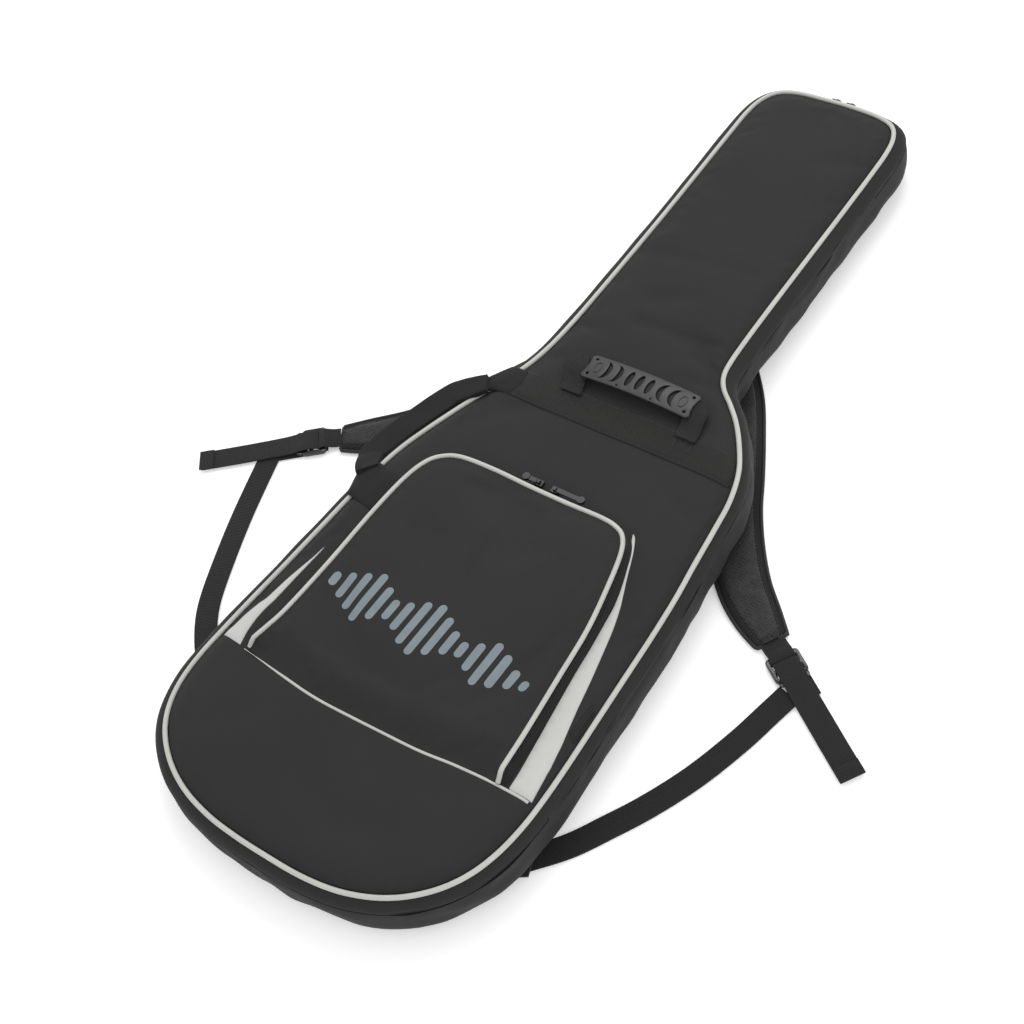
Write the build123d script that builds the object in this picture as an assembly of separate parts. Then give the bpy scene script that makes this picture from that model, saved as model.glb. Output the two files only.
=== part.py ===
from build123d import *
import math
import os

# Padded gig bag lying on its back. Millimetres, +X to the bag's right, +Y to the headstock,
# +Z out of the front. Drawing coordinates measure Y from the tail; export moves the origin
# to the middle of the flat rear face, ORIGIN_FROM_TAIL up from the tail and on the floor.
ORIGIN_FROM_TAIL = 260.0

# Driving dimensions
FLOOR_GAP = 10.0          # underside of the side wall above the floor
ZIP_LINE = 50.0           # height where lid and back part
LID_TOP = 66.0            # flat top of the front panel
PIPING = 4.6              # piping diameter
RUN_GAP = 0.3             # clearance between separate bodies
WEBBING = 25.0            # shoulder webbing width
BAND = (528.0, 564.0)     # reinforcement band across the upper bout
SPINE_LOW = (197.0, 163.0)    # where the main zip ends on the body
SPINE_HIGH = (93.0, 936.0)    # where it ends beside the headstock
POCKET_FLOOR = 66.1
POCKET_RIM = 77.7

# Seam line of the front panel, counter-clockwise from the middle of the tail
OUTLINE = [
    (0, -2), (45, -1), (82, 4), (112, 13.5), (136, 26), (156, 42), (172, 60.5), (184, 82),
    (192, 107), (196.5, 135), (198, 165), (197.5, 205), (195.5, 255), (193.5, 305),
    (191.5, 355), (188.5, 400), (184, 440), (180, 480), (175.5, 517), (165.5, 550),
    (150, 577), (132, 601), (114, 619), (98, 633), (88.5, 648), (85, 668), (84, 705),
    (84, 760), (84.5, 830), (85, 900), (85, 960), (84, 992), (80, 1014), (70, 1030),
    (50, 1038), (18, 1041), (-22, 1041), (-54, 1039), (-75, 1031), (-86.5, 1014),
    (-91, 990), (-91.5, 955), (-91.5, 900), (-91.5, 830), (-92.5, 755), (-94, 690),
    (-96, 640), (-99.5, 603), (-107, 570), (-119, 541), (-132, 512), (-144, 482),
    (-155, 452), (-163.5, 425), (-169.5, 394), (-174, 350), (-178, 300), (-182, 250),
    (-186.5, 200), (-189.5, 160), (-191, 128), (-189, 99), (-182, 74), (-170, 53),
    (-152, 35), (-128, 19.5), (-99, 8), (-65, 1), (-33, -1.5),
]
POCKET_LEFT = [(-142, 160), (-134, 200), (-130, 266), (-128, 337), (-124, 385), (-116, 413)]
POCKET_TOP = [(-103, 427), (-84, 434), (-45, 436), (0, 436), (45, 436), (82, 436), (101, 434)]
POCKET_RIGHT = [(114, 427), (124, 409), (134, 370), (143, 323), (148, 268), (153, 212), (156, 160)]
SEAM = [(-215, 158), (-143, 153), (-92, 148), (-50, 145), (0, 146), (69, 149), (111, 154),
        (152, 157), (215, 160)]


def grown(points, distance):
    """Move each point of a counter-clockwise closed loop outwards."""
    moved = []
    count = len(points)
    for i, (x, y) in enumerate(points):
        x0, y0 = points[i - 1]
        x1, y1 = points[(i + 1) % count]
        dx, dy = x1 - x0, y1 - y0
        length = math.hypot(dx, dy)
        moved.append((x + dy / length * distance, y - dx / length * distance))
    return moved


def smoothed(points):
    """Add a point midway along each span of a closed loop, on a Catmull-Rom curve."""
    result = []
    count = len(points)
    for i in range(count):
        a, b, c, d = (points[(i + k) % count] for k in (-1, 0, 1, 2))
        result.append(b)
        result.append(tuple((9 * (b[k] + c[k]) - a[k] - d[k]) / 16 for k in (0, 1)))
    return result


def loop_face(points, z):
    """A face inside a closed loop at one height."""
    return make_face(Polyline(*[(x, y, z) for x, y in points], close=True))


def slab(distance, low, high, points=OUTLINE):
    """The outline grown by a distance, as a straight plate from low to high."""
    face = loop_face(grown(smoothed(points), distance), low)
    return extrude(face, amount=high - low, dir=(0, 0, 1))


def stacked(layers, change=0.0, points=OUTLINE):
    """Plates stacked face to face, as (distance, low, high), all grown by one change."""
    plates = [slab(distance + change, low, high, points) for distance, low, high in layers]
    return plates[0].fuse(*plates[1:])


def plate(points, low, high):
    """A straight-sided plate."""
    face = make_face(Polyline(*[(x, y, low) for x, y in points], close=True))
    return extrude(face, amount=high - low, dir=(0, 0, 1))


def box(x0, x1, y0, y1, z0, z1):
    """A box between two corners."""
    return Pos((x0 + x1) / 2, (y0 + y1) / 2, (z0 + z1) / 2) * Box(x1 - x0, y1 - y0, z1 - z0)


def strip(path, widths, low, high):
    """A flat strap along a path, with a width at each point."""
    left, right = [], []
    for i, (x, y) in enumerate(path):
        x0, y0 = path[max(i - 1, 0)]
        x1, y1 = path[min(i + 1, len(path) - 1)]
        before = math.atan2(y - y0, x - x0) if i else math.atan2(y1 - y, x1 - x)
        after = math.atan2(y1 - y, x1 - x) if i + 1 < len(path) else before
        turn = math.atan2(math.sin(after - before), math.cos(after - before))
        angle = before + turn / 2
        half = widths[i] / 2 / math.cos(turn / 2)
        left.append((x - math.sin(angle) * half, y + math.cos(angle) * half))
        right.append((x + math.sin(angle) * half, y - math.cos(angle) * half))
    return plate(left + right[::-1], low, high)


def largest(shape):
    """The biggest solid of a shape."""
    return max(shape.solids(), key=lambda solid: solid.volume)


def spine_direction():
    """Unit vector of the lid's hinge line, towards the headstock."""
    dx, dy = SPINE_HIGH[0] - SPINE_LOW[0], SPINE_HIGH[1] - SPINE_LOW[1]
    length = math.hypot(dx, dy)
    return dx / length, dy / length


def lid_side(gap):
    """Everything on the opening side of the hinge line."""
    dx, dy = spine_direction()
    start = (SPINE_LOW[0] - dx * 400 - gap, SPINE_LOW[1] - dy * 400)
    end = (SPINE_LOW[0] + dx * 1200 - gap, SPINE_LOW[1] + dy * 1200)
    return plate([start, end, (-500, 1400), (-500, -300)], -20, 140)


def ring(outer, inner, low, high, points=OUTLINE):
    """A flat-topped ring along the outline."""
    return slab(outer, low, high, points) - slab(inner, low - 1, high + 1, points)


PLAIN_WALL = box(20, 300, SPINE_LOW[1], SPINE_HIGH[1], 0, 120)
WALL = [(6, FLOOR_GAP, 17), (12, 17, 36), (10, 36, 43.9)]
WALL_INSIDE = [(3.5, FLOOR_GAP, 19.5), (9.5, 19.5, 33.5), (7.5, 33.5, 43.9)]


def back_parts():
    """Rear half: padded panel, side wall, foam, lining, zip half and straps' seats."""
    rest_face = Pos(0, ORIGIN_FROM_TAIL, 0) * RectangleRounded(230, 420, 60)
    rest = extrude(rest_face, amount=FLOOR_GAP, dir=(0, 0, 1))
    panel = slab(-4.2, FLOOR_GAP, 20) + rest
    wall = stacked(WALL) - stacked(WALL_INSIDE)
    foam = stacked(WALL_INSIDE, -0.1) - slab(-2.0, 0, 60)
    lining = slab(-2.1, 20.1, 43.9) - slab(-3.3, 21.3, 60)
    chain = ring(9.3, 5.5, 44, ZIP_LINE)
    yoke = plate([(-62, 700), (62, 700), (48, 775), (-48, 775)], 8.7, FLOOR_GAP - 0.1)
    anchors = {}
    for side, name in ((1, "right"), (-1, "left")):
        points = [(side * 166, 92), (side * 204, 116), (side * 196, 140), (side * 150, 128)]
        anchors["lower_anchor_" + name] = plate(points, 3.2, FLOOR_GAP - 0.5)
    edge = [(8, ZIP_LINE + 0.1, 60), (2, 60, 64), (-2.5, 64, LID_TOP)]
    piping_seat = ring(PIPING / 2 + 0.1, -PIPING / 2 - 0.1, 60, LID_TOP + 5)
    spine = (stacked(edge) - lid_side(0) - piping_seat) & box(100, 260, 160, 640, 0, 120)
    cord = ring(PIPING / 2, -PIPING / 2, 60.1, 60.1 + PIPING) - lid_side(0)
    parts = {
        "back_panel": panel,
        "side_wall": wall,
        "side_foam": foam,
        "back_lining": lining,
        "main_zip_lower": chain - PLAIN_WALL,
        "spine_wall": chain & PLAIN_WALL,
        "spine_strip": spine,
        "spine_piping": cord & box(100, 260, 160, 640, 0, 120),
        "strap_yoke": yoke,
    }
    parts.update(anchors)
    return parts


def lid_parts():
    """Front half that folds open: panel, foam, lining, wall, zip half and trims."""
    side = lid_side(RUN_GAP)
    low = ZIP_LINE + RUN_GAP
    seam_line = [(x, y) for x, y in SEAM]
    below_seam = plate(seam_line + [(260, -60), (-260, -60)], 60, 90)
    inside = slab(-5.2, 60, 90)
    seam_cord = strip(SEAM, [2.6] * len(SEAM), 67.5, 69.6) & slab(-6, 60, 90)
    band = box(-116, 190, BAND[0], BAND[1], LID_TOP + 0.1, 67.6) & slab(-5.2, 60, 90)
    return {
        "main_zip_upper": largest((ring(9.2, 5.5, low, 54) - PLAIN_WALL) & side),
        "lid_wall": ring(6, -3, 54.1, 60) & side,
        "lid_lining": slab(-3.1, 51, 52.2) & side,
        "lid_foam": slab(-3.1, 52.3, 62) & side,
        "front_panel": slab(-2.6, 62.1, LID_TOP) & side,
        "front_piping": ring(PIPING / 2, -PIPING / 2, 60.1, 60.1 + PIPING) & side,
        "lower_panel": (below_seam & inside & slab(-5.2, LID_TOP + 0.1, 67.4)) & side,
        "seam_piping": seam_cord & side,
        "reinforcement_band": band & lid_side(3.5),
    }


def pocket_points():
    """The pocket's rim, counter-clockwise, closed a little below its seam."""
    bottom = [(-95, 157), (-50, 155), (0, 155), (50, 155), (105, 157)]
    return (POCKET_RIGHT[::-1] + POCKET_TOP[::-1] + POCKET_LEFT[::-1] + bottom)


def pocket_mounts():
    """Pieces of the pocket that stay on the lid: gusset and pale side panels."""
    rim = pocket_points()
    above = box(-260, 260, 174, 520, 60, 120)
    slope = [(12, POCKET_FLOOR, 69), (7, 69, 73), (2, 73, POCKET_RIM)]
    outer = stacked(slope, 0, rim)
    gusset = (outer - slab(-3, 60, 90, rim)) & above
    footprint = slab(12.4, 60, 90, rim)
    right = [(191, 161), (184, 218), (171.5, 283), (158, 342), (141, 392), (129, 425),
             (118, 440), (100, 380), (110, 161)]
    left = [(-181, 160), (-172, 230), (-163, 280), (-154, 315), (-140, 345), (-120, 345),
            (-110, 161)]
    parts = {"pocket_gusset": gusset}
    for name, points in (("right", right), ("left", left)):
        pale = plate(points, LID_TOP + 0.1, 67.3) - footprint
        parts["pale_panel_" + name] = largest(pale) & box(-260, 260, 162, 520, 60, 90)
    return parts


def pocket_front():
    """The pocket's front, which folds down about its bottom seam."""
    rim = pocket_points()
    above = box(-260, 260, 172, 520, 60, 120)
    low = POCKET_RIM + RUN_GAP
    panel = slab(-2.4, low, 80.6, rim) & above
    skirt_profile = make_face(Polyline((0, 160, 67.6), (0, 163, 67.6), (0, 173, 78.2),
                                       (0, 173, 80.6), (0, 171, 80.6), close=True))
    skirt = Pos(-138, 0, 0) * extrude(skirt_profile, amount=289, dir=(1, 0, 0))
    rim_cord = ring(2.2, -2.3, low, low + 4.4, rim) & box(-260, 260, 173.1, 520, 60, 120)
    return {"pocket_panel": panel + skirt, "pocket_piping": rim_cord}


def slider_set(name, x, direction, reach):
    """A pocket zip slider and its pull, which lies along the zip."""
    body = box(x - 4.5, x + 4.5, 440.8, 447.8, 73.5, 77.9)
    eye = box(x - 1.5, x + 1.5, 442.3, 446.3, 77.9, 80.6)
    start = x + direction * 2.6
    end = x + direction * reach
    tab = box(min(start, end), max(start, end), 441.8, 446.8, 78.3, 79.7)
    knob = Pos(end - direction * 3, 444.3, 79) * Cylinder(4.0, 3.0)
    return {name + "_slider": body + eye, name + "_pull": tab + knob}


def main_slider_set(name, x):
    """A main zip slider on the headstock's end wall and its hanging pull."""
    body = box(x - 5.5, x + 5.5, 1051.0, 1053.4, 45.5, 54.5)
    eye = box(x - 1.5, x + 1.5, 1053.4, 1056.6, 48, 52)
    tab = box(x - 3.2, x + 3.2, 1054.6, 1055.9, 17, 47.6)
    return {name + "_slider": body + eye, name + "_pull": tab}


def left_edge(y, distance):
    """A point beside the left seam line at one height, a distance outwards."""
    upper = max(i for i, point in enumerate(OUTLINE) if point[0] < -90 and point[1] > y)
    (x0, y0), (x1, y1) = OUTLINE[upper], OUTLINE[upper + 1]
    share = (y - y0) / (y1 - y0)
    length = math.hypot(x1 - x0, y1 - y0)
    out_x, out_y = (y1 - y0) / length, (x0 - x1) / length
    return x0 + (x1 - x0) * share + out_x * distance, y + out_y * distance


def left_plate(heights, inner, outer, low, high):
    """A plate beside the left seam line, between two distances from it."""
    near = [left_edge(y, inner) for y in heights]
    far = [left_edge(y, outer) for y in heights]
    return plate(near + far[::-1], low, high)


def front_handle():
    """Moulded grip and the two folded webbing ends that carry it above the band."""
    centre, reach, low, thick = 28.0, 66.0, 75.7, 4.2
    under = ThreePointArc((centre - reach, 0, low), (centre, 0, low + 4), (centre + reach, 0, low))
    over = ThreePointArc((centre + reach, 0, low + thick), (centre, 0, low + thick + 4.5),
                         (centre - reach, 0, low + thick))
    ends = [Line((centre + reach, 0, low), (centre + reach, 0, low + thick)),
            Line((centre - reach, 0, low + thick), (centre - reach, 0, low))]
    profile = make_face(Wire([under, ends[0], over, ends[1]]))
    grip = Pos(0, 574, 0) * extrude(profile, amount=29, dir=(0, 1, 0))
    parts = {"handle_grip": grip}
    side = make_face(Polyline((0, 561.6, 67.9), (0, 564, 67.9), (0, 578, 73), (0, 603, 73),
                              (0, 603, 75.4), (0, 577, 75.4), (0, 561.6, 69.8), close=True))
    for x, name in ((-40, "left"), (98, "right")):
        parts["handle_loop_" + name] = Pos(x - 13.5, 0, 0) * extrude(side, amount=27, dir=(1, 0, 0))
    return parts


def side_handle():
    """Padded sleeve beside the left wall and the two patches that carry it."""
    sleeve = left_plate((392, 415, 440, 470, 498), 7.0, 38.0, 56, 63)
    risers = [left_plate(span, 13.6, 26.0, 56, 66) for span in ((392, 404), (486, 498))]
    upper = plate([(-92, 530), (-92, 564), (-112, 563), left_edge(545, 13), left_edge(520, 13),
                   left_edge(498, 13), left_edge(500, -4), (-126, 531)], 67.7, 69.2)
    lower = plate([(-141, 356), left_edge(358, 13), left_edge(375, 13), left_edge(402, 13),
                   left_edge(404, -6), (-142, 384)], 67.7, 69.2)
    return {"side_grip": sleeve + risers[0] + risers[1], "side_patch_upper": upper,
            "side_patch_lower": lower}


def strap_frame(end, angle):
    """Location with X along the strap, at the pad's end on the floor."""
    return Location((end[0], end[1], 0), (0, 0, angle))


def bar_space(x, z):
    """The room that a buckle's cross bar takes, with its clearance."""
    return Pos(x, 0, z) * Rot(90, 0, 0) * Cylinder(2.3, 40)


def wrapped(x, z):
    """Webbing that turns round a buckle's cross bar."""
    face = Plane.XZ * (Pos(x, z) * (Circle(3.9) - Circle(2.3)))
    return extrude(face, amount=WEBBING / 2, both=True)


def strap(name, path, end, angle, fold, lower_path):
    """One shoulder strap: pad, mesh face, buckle, webbing and its free tail."""
    place = strap_frame(end, angle)
    pad = strip(path, PAD_WIDTHS, 0.2, 6.4)
    mesh = strip(path[:-1], [width - 9 for width in PAD_WIDTHS[:-1]], 6.5, 8.4)
    half = WEBBING / 2
    bar_pad, bar_web, z = 11.0, 25.0, 4.5
    frame = box(9, 33, -16.5, 16.5, 2.5, 6.5) - box(0, 30.5, -13.3, 13.3, 0, 9)
    bars = [Pos(x, 0, z) * Rot(90, 0, 0) * Cylinder(2.0, 27) for x in (bar_pad, bar_web)]
    buckle = frame + bars[0] + bars[1]

    tongue = box(-34, bar_pad, -half, half, 6.8, 8.4) - bar_space(bar_pad, z)
    loop = wrapped(bar_pad, z) + tongue
    leader = box(bar_web, fold, -half, half, 0.6, 2.2) - bar_space(bar_web, z)
    web = wrapped(bar_web, z) + leader
    web_low = strip(lower_path, [WEBBING] * len(lower_path), 0.6, 2.2)
    tail_profile = make_face(Polyline(
        (34.5, 0, 6.9), (50, 0, 2.5), (130, 0, 2.5), (130, 0, 2.9), (152, 0, 2.9),
        (152, 0, 5.7), (140, 0, 5.7), (140, 0, 4.1), (50, 0, 4.1), (34.5, 0, 8.5), close=True))
    tail = Pos(0, -half, 0) * extrude(tail_profile, amount=WEBBING, dir=(0, 1, 0))
    neck_cut = place * box(-40, 40, -half - 0.4, half + 0.4, 6.5, 20)
    return {
        "strap_pad_" + name: pad,
        "strap_mesh_" + name: mesh - neck_cut,
        "buckle_loop_" + name: place * loop,
        "buckle_" + name: place * buckle,
        "webbing_" + name: (place * web) + web_low,
        "webbing_tail_" + name: place * tail,
    }


RIGHT_PAD = [(42, 738), (42, 722), (60, 700), (88, 662), (113, 620), (137, 578), (158, 540), (184, 503),
             (213, 470), (243, 446), (276.5, 424)]
LEFT_PAD = [(-42, 738), (-42, 722), (-60, 700), (-88, 662), (-113, 620), (-137, 578), (-160, 540),
            (-188, 503), (-217, 474), (-249, 450), (-283.5, 428)]
PAD_WIDTHS = [46, 48, 52, 57, 58, 58, 57, 55, 52, 46, 32]


def all_parts():
    """Every node of the bag, in drawing coordinates."""
    parts = back_parts()
    parts.update(lid_parts())
    parts.update(pocket_mounts())
    parts.update(pocket_front())
    parts.update(slider_set("pocket_left", 3, -1, 18))
    parts.update(slider_set("pocket_right", 23, 1, 34))
    parts.update(main_slider_set("main_low", -12))
    parts.update(main_slider_set("main_high", 6))
    parts.update(front_handle())
    parts.update(side_handle())
    right_low = [(317, 392), (305, 345), (279, 276), (238, 195), (216, 160), (196, 132)]
    left_low = [(-329, 388), (-322, 340), (-292, 262), (-262, 190), (-230, 152), (-198, 128)]
    parts.update(strap("right", RIGHT_PAD, (276.5, 424), -33.1, 60, right_low))
    parts.update(strap("left", LEFT_PAD, (-283.5, 428), 180 + 37.8, 68, left_low))
    return parts


def main():
    os.makedirs("parts", exist_ok=True)
    shift = Pos(0, -ORIGIN_FROM_TAIL, 0)
    for name, shape in all_parts().items():
        solids = [solid for solid in shape.solids() if solid.volume > 0.5]
        moved = [shift * solid for solid in solids]
        shape_out = moved[0] if len(moved) == 1 else Compound(children=moved)
        shape_out.label = name
        export_step(shape_out, "parts/" + name + ".step")
        print(name, len(solids), round(sum(solid.volume for solid in solids)))


main()
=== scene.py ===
"""Padded electric-guitar gig bag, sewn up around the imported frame."""

import math

import bmesh
import bpy
import numpy as np
from mathutils import Matrix, Vector, noise
from mathutils.bvhtree import BVHTree
from mathutils.geometry import delaunay_2d_cdt


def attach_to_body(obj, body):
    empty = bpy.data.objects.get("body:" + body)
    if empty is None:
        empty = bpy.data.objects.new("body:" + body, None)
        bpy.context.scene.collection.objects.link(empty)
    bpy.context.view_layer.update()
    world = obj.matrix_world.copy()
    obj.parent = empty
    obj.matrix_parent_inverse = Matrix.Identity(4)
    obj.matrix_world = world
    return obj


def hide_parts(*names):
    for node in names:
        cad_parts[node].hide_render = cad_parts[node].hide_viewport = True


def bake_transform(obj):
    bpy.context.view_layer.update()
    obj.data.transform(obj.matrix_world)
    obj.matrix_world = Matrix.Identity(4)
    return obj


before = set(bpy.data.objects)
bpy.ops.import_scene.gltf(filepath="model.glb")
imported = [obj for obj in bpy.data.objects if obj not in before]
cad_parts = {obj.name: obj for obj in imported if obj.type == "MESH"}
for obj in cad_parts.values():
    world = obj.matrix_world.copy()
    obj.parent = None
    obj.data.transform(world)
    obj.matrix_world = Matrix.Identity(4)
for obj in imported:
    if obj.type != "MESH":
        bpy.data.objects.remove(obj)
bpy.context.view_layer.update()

# Drawing coordinates are millimetres with Y measured from the tail; the frame's origin is
# ORIGIN_FROM_TAIL further up. Every builder below takes drawing coordinates.
ORIGIN_FROM_TAIL = 260.0
PIPE_Z = 62.0
# The hinge line of the lid, a chord between the two ends of the main zip.
SPINE_LOW = (197.0, 163.0)
SPINE_HIGH = (93.0, 936.0)

UNDERSIDE = 9.6  # clear height of the soft underside round the flat rear face
FLAT_REAR = 0.1
RING_STEP = 5.0
ZIP_DEPTH = 0.93  # where the zip sits, as a share of the wall's bulge
POCKET_TOP_Z = 79.9
WEBBING_WIDTH = 25.0
WEBBING_THICK = 1.5
MISSING_HEIGHT = 64.0  # height taken where a surface is not met

OUTLINE = [
    (0, -2), (45, -1), (82, 4), (112, 13.5), (136, 26), (156, 42), (172, 60.5), (184, 82),
    (192, 107), (196.5, 135), (198, 165), (197.5, 205), (195.5, 255), (193.5, 305),
    (191.5, 355), (188.5, 400), (184, 440), (180, 480), (175.5, 517), (165.5, 550),
    (150, 577), (132, 601), (114, 619), (98, 633), (88.5, 648), (85, 668), (84, 705),
    (84, 760), (84.5, 830), (85, 900), (85, 960), (84, 992), (80, 1014), (70, 1030),
    (50, 1038), (18, 1041), (-22, 1041), (-54, 1039), (-75, 1031), (-86.5, 1014),
    (-91, 990), (-91.5, 955), (-91.5, 900), (-91.5, 830), (-92.5, 755), (-94, 690),
    (-96, 640), (-99.5, 603), (-107, 570), (-119, 541), (-132, 512), (-144, 482),
    (-155, 452), (-163.5, 425), (-169.5, 394), (-174, 350), (-178, 300), (-182, 250),
    (-186.5, 200), (-189.5, 160), (-191, 128), (-189, 99), (-182, 74), (-170, 53),
    (-152, 35), (-128, 19.5), (-99, 8), (-65, 1), (-33, -1.5),
]
POCKET_LEFT = [(-144, 157), (-139, 178), (-134, 205), (-130, 266), (-128, 337), (-124, 385),
               (-116, 413)]
POCKET_TOP = [(-103, 427), (-84, 434), (-45, 436), (0, 435), (45, 435), (82, 436), (101, 434)]
POCKET_RIGHT = [(114, 427), (124, 409), (134, 370), (143, 323), (148, 268), (153, 212),
                (155, 180), (156, 159)]
SEAM = [(-184, 156), (-143, 153), (-92, 148), (-50, 145), (0, 146), (69, 149), (111, 154),
        (152, 157), (195, 158)]


# ---------------------------------------------------------------- points and curves

def frame_point(x, y, z):
    """A drawing point in the frame, in metres."""
    return x / 1000, (y - ORIGIN_FROM_TAIL) / 1000, z / 1000


def curve(points, closed=False, parts=10):
    """Catmull-Rom curve through points of any dimension."""
    points = [np.array(p, float) for p in points]
    count = len(points)
    spans = count if closed else count - 1
    result = []
    for i in range(spans):
        if closed:
            a, b, c, d = (points[(i + k) % count] for k in (-1, 0, 1, 2))
        else:
            b, c = points[i], points[i + 1]
            a = points[i - 1] if i else 2 * b - c
            d = points[i + 2] if i + 2 < count else 2 * c - b
        for k in range(parts):
            t = k / parts
            result.append(0.5 * (2 * b + (c - a) * t + (2 * a - 5 * b + 4 * c - d) * t * t
                                 + (3 * b - a - 3 * c + d) * t ** 3))
    if not closed:
        result.append(points[-1])
    return np.array(result)


def run_length(points):
    """Length along a line at each of its points."""
    return np.concatenate([[0], np.cumsum(np.linalg.norm(np.diff(points, axis=0), axis=1))])


def respaced(points, step, closed=False):
    """The same line with points at an even spacing."""
    points = np.array(points, float)
    if closed:
        points = np.vstack([points, points[:1]])
    length = run_length(points)
    count = max(2, round(length[-1] / step))
    at = np.linspace(0, length[-1], count + 1)
    if closed:
        at = at[:-1]
    return np.column_stack([np.interp(at, length, points[:, k]) for k in range(points.shape[1])])


def tangents(points, closed=False):
    """Unit direction at each point."""
    if closed:
        ahead, behind = np.roll(points, -1, axis=0), np.roll(points, 1, axis=0)
    else:
        ahead = np.vstack([points[1:], points[-1:]])
        behind = np.vstack([points[:1], points[:-1]])
    along = ahead - behind
    return along / np.linalg.norm(along, axis=1)[:, None]


def outwards(loop, closed=True):
    """Unit normal to the right of travel, which is outwards on a counter-clockwise loop."""
    along = tangents(loop[:, :2], closed)
    return np.column_stack([along[:, 1], -along[:, 0]])


def across(direction):
    """Level side and upward directions of a line that runs along a direction."""
    side = np.cross(direction, (0, 0, 1))
    side /= max(np.linalg.norm(side), 1e-9)
    return side, np.cross(side, direction)


def ease(share):
    """Smooth step from 0 to 1, held at both ends."""
    share = min(1, max(0, share))
    return share * share * (3 - 2 * share)


def swell(distance, reach):
    """Share of a cushion's full height, a distance in from its edge."""
    return 1 - math.exp(-distance / reach)


def twice_area(outline):
    """Twice the signed area of an outline, positive when it runs counter-clockwise."""
    x, y = outline[:, 0], outline[:, 1]
    return np.dot(x, np.roll(y, -1)) - np.dot(y, np.roll(x, -1))


def counter_clockwise(outline):
    """The same outline, running counter-clockwise."""
    return outline if twice_area(outline) > 0 else outline[::-1]


def inside_loop(points, loop):
    """Which points lie inside a closed polygon."""
    x, y = points[:, 0], points[:, 1]
    inside = np.zeros(len(points), bool)
    for (x0, y0), (x1, y1) in zip(loop, np.roll(loop, -1, axis=0)):
        crosses = (y0 > y) != (y1 > y)
        if crosses.any():
            at = x0 + (y - y0) * (x1 - x0) / (y1 - y0 if y1 != y0 else 1e-9)
            inside ^= crosses & (x < at)
    return inside


def edge_distance(points, loop):
    """Distance from each point to the nearest side of a closed polygon."""
    best = np.full(len(points), 1e9)
    for a, b in zip(loop, np.roll(loop, -1, axis=0)):
        side = b - a
        t = np.clip(((points - a) @ side) / max(side @ side, 1e-9), 0, 1)
        best = np.minimum(best, np.linalg.norm(points - a - t[:, None] * side, axis=1))
    return best


def wander(x, y, z, scale, strength):
    """Smooth repeatable unevenness."""
    return strength * noise.noise(Vector((x / scale, y / scale, z / scale)))


# ---------------------------------------------------------------- objects

def attach(piece, body):
    """Rides on a body; on one of the four soft seams the piece only has its transform baked in."""
    if body == "spine":
        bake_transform(piece)
    elif body == "pocket_flap":
        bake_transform(piece)
    elif body == "handle_foot":
        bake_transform(piece)
    elif body == "gusset":
        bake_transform(piece)
    else:
        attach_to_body(piece, body)


def make(name, points, faces, material, uv=None, sharp=50):
    """A mesh object from drawing points, with its own UV in metres."""
    mesh = bpy.data.meshes.new(name)
    mesh.from_pydata([frame_point(*p) for p in points], [], [list(f) for f in faces])
    mesh.validate()
    layer = mesh.uv_layers.new(name="UVMap")
    if uv is None:
        uv = [(p[0], p[1]) for p in points]
    for loop in mesh.loops:
        u, v = uv[loop.vertex_index]
        layer.data[loop.index].uv = (u / 1000, v / 1000)
    piece = bpy.data.objects.new(name, mesh)
    bpy.context.scene.collection.objects.link(piece)
    mesh.shade_smooth()
    mesh.set_sharp_from_angle(angle=math.radians(sharp))
    mesh.materials.append(material)
    return piece


def label(slot, replaced=()):
    """Hides the CAD nodes that a piece stands for."""
    if replaced:
        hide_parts(*replaced)


def hang(piece, spot, slot, replaced=()):
    """Webbing by the buckle: hides the CAD nodes it stands for and bakes its transform."""
    label(slot, replaced)
    frame_point(*spot(27, 0, 4))
    frame_point(*spot(52, 0, 4))
    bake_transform(piece)


def place(piece, body, slot, replaced=()):
    """Finish a piece: its body, or a baked transform on a soft seam, and the CAD nodes it stands for.
    """
    label(slot, replaced)
    attach(piece, body)
    return piece


def baked(piece):
    """Apply a piece's modifiers."""
    bpy.context.view_layer.update()
    graph = bpy.context.evaluated_depsgraph_get()
    mesh = bpy.data.meshes.new_from_object(piece.evaluated_get(graph), depsgraph=graph)
    piece.modifiers.clear()
    piece.data = mesh
    return piece


def bevelled(piece, width, segments=2):
    """Round a piece's sharp edges."""
    modifier = piece.modifiers.new("bevel", "BEVEL")
    modifier.width = width / 1000
    modifier.segments = segments
    modifier.limit_method = "ANGLE"
    modifier.angle_limit = math.radians(40)
    baked(piece)
    piece.data.shade_smooth()
    piece.data.set_sharp_from_angle(angle=math.radians(35))
    return piece


def grid_faces(rows, columns, closed_rows=False, closed_columns=False, flip=False):
    """Quads of a rows x columns grid of points."""
    faces = []
    for i in range(rows if closed_rows else rows - 1):
        for j in range(columns if closed_columns else columns - 1):
            a = i * columns + j
            b = i * columns + (j + 1) % columns
            c = (i + 1) % rows * columns + (j + 1) % columns
            d = (i + 1) % rows * columns + j
            faces.append((a, d, c, b) if flip else (a, b, c, d))
    return faces


def tube(name, path, radius, material, closed=False, sides=12):
    """A round cord along a nearly level line; radius may be one number per point."""
    path = np.array(path, float)
    along = tangents(path, closed)
    radii = np.broadcast_to(np.array(radius, float), (len(path),))
    points, uv = [], []
    length = 0.0
    for i, centre in enumerate(path):
        side, up = across(along[i])
        length += np.linalg.norm(path[i] - path[i - 1]) if i else 0
        for k in range(sides):
            angle = 2 * math.pi * k / sides
            points.append(centre + radii[i] * (math.cos(angle) * side + math.sin(angle) * up))
            uv.append((length, radii[i] * angle))
    faces = grid_faces(len(path), sides, closed, True, flip=True)
    if not closed:
        faces.append(list(range(sides))[::-1])
        last = (len(path) - 1) * sides
        faces.append([last + k for k in range(sides)])
    return make(name, points, faces, material, uv, 80)


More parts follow.
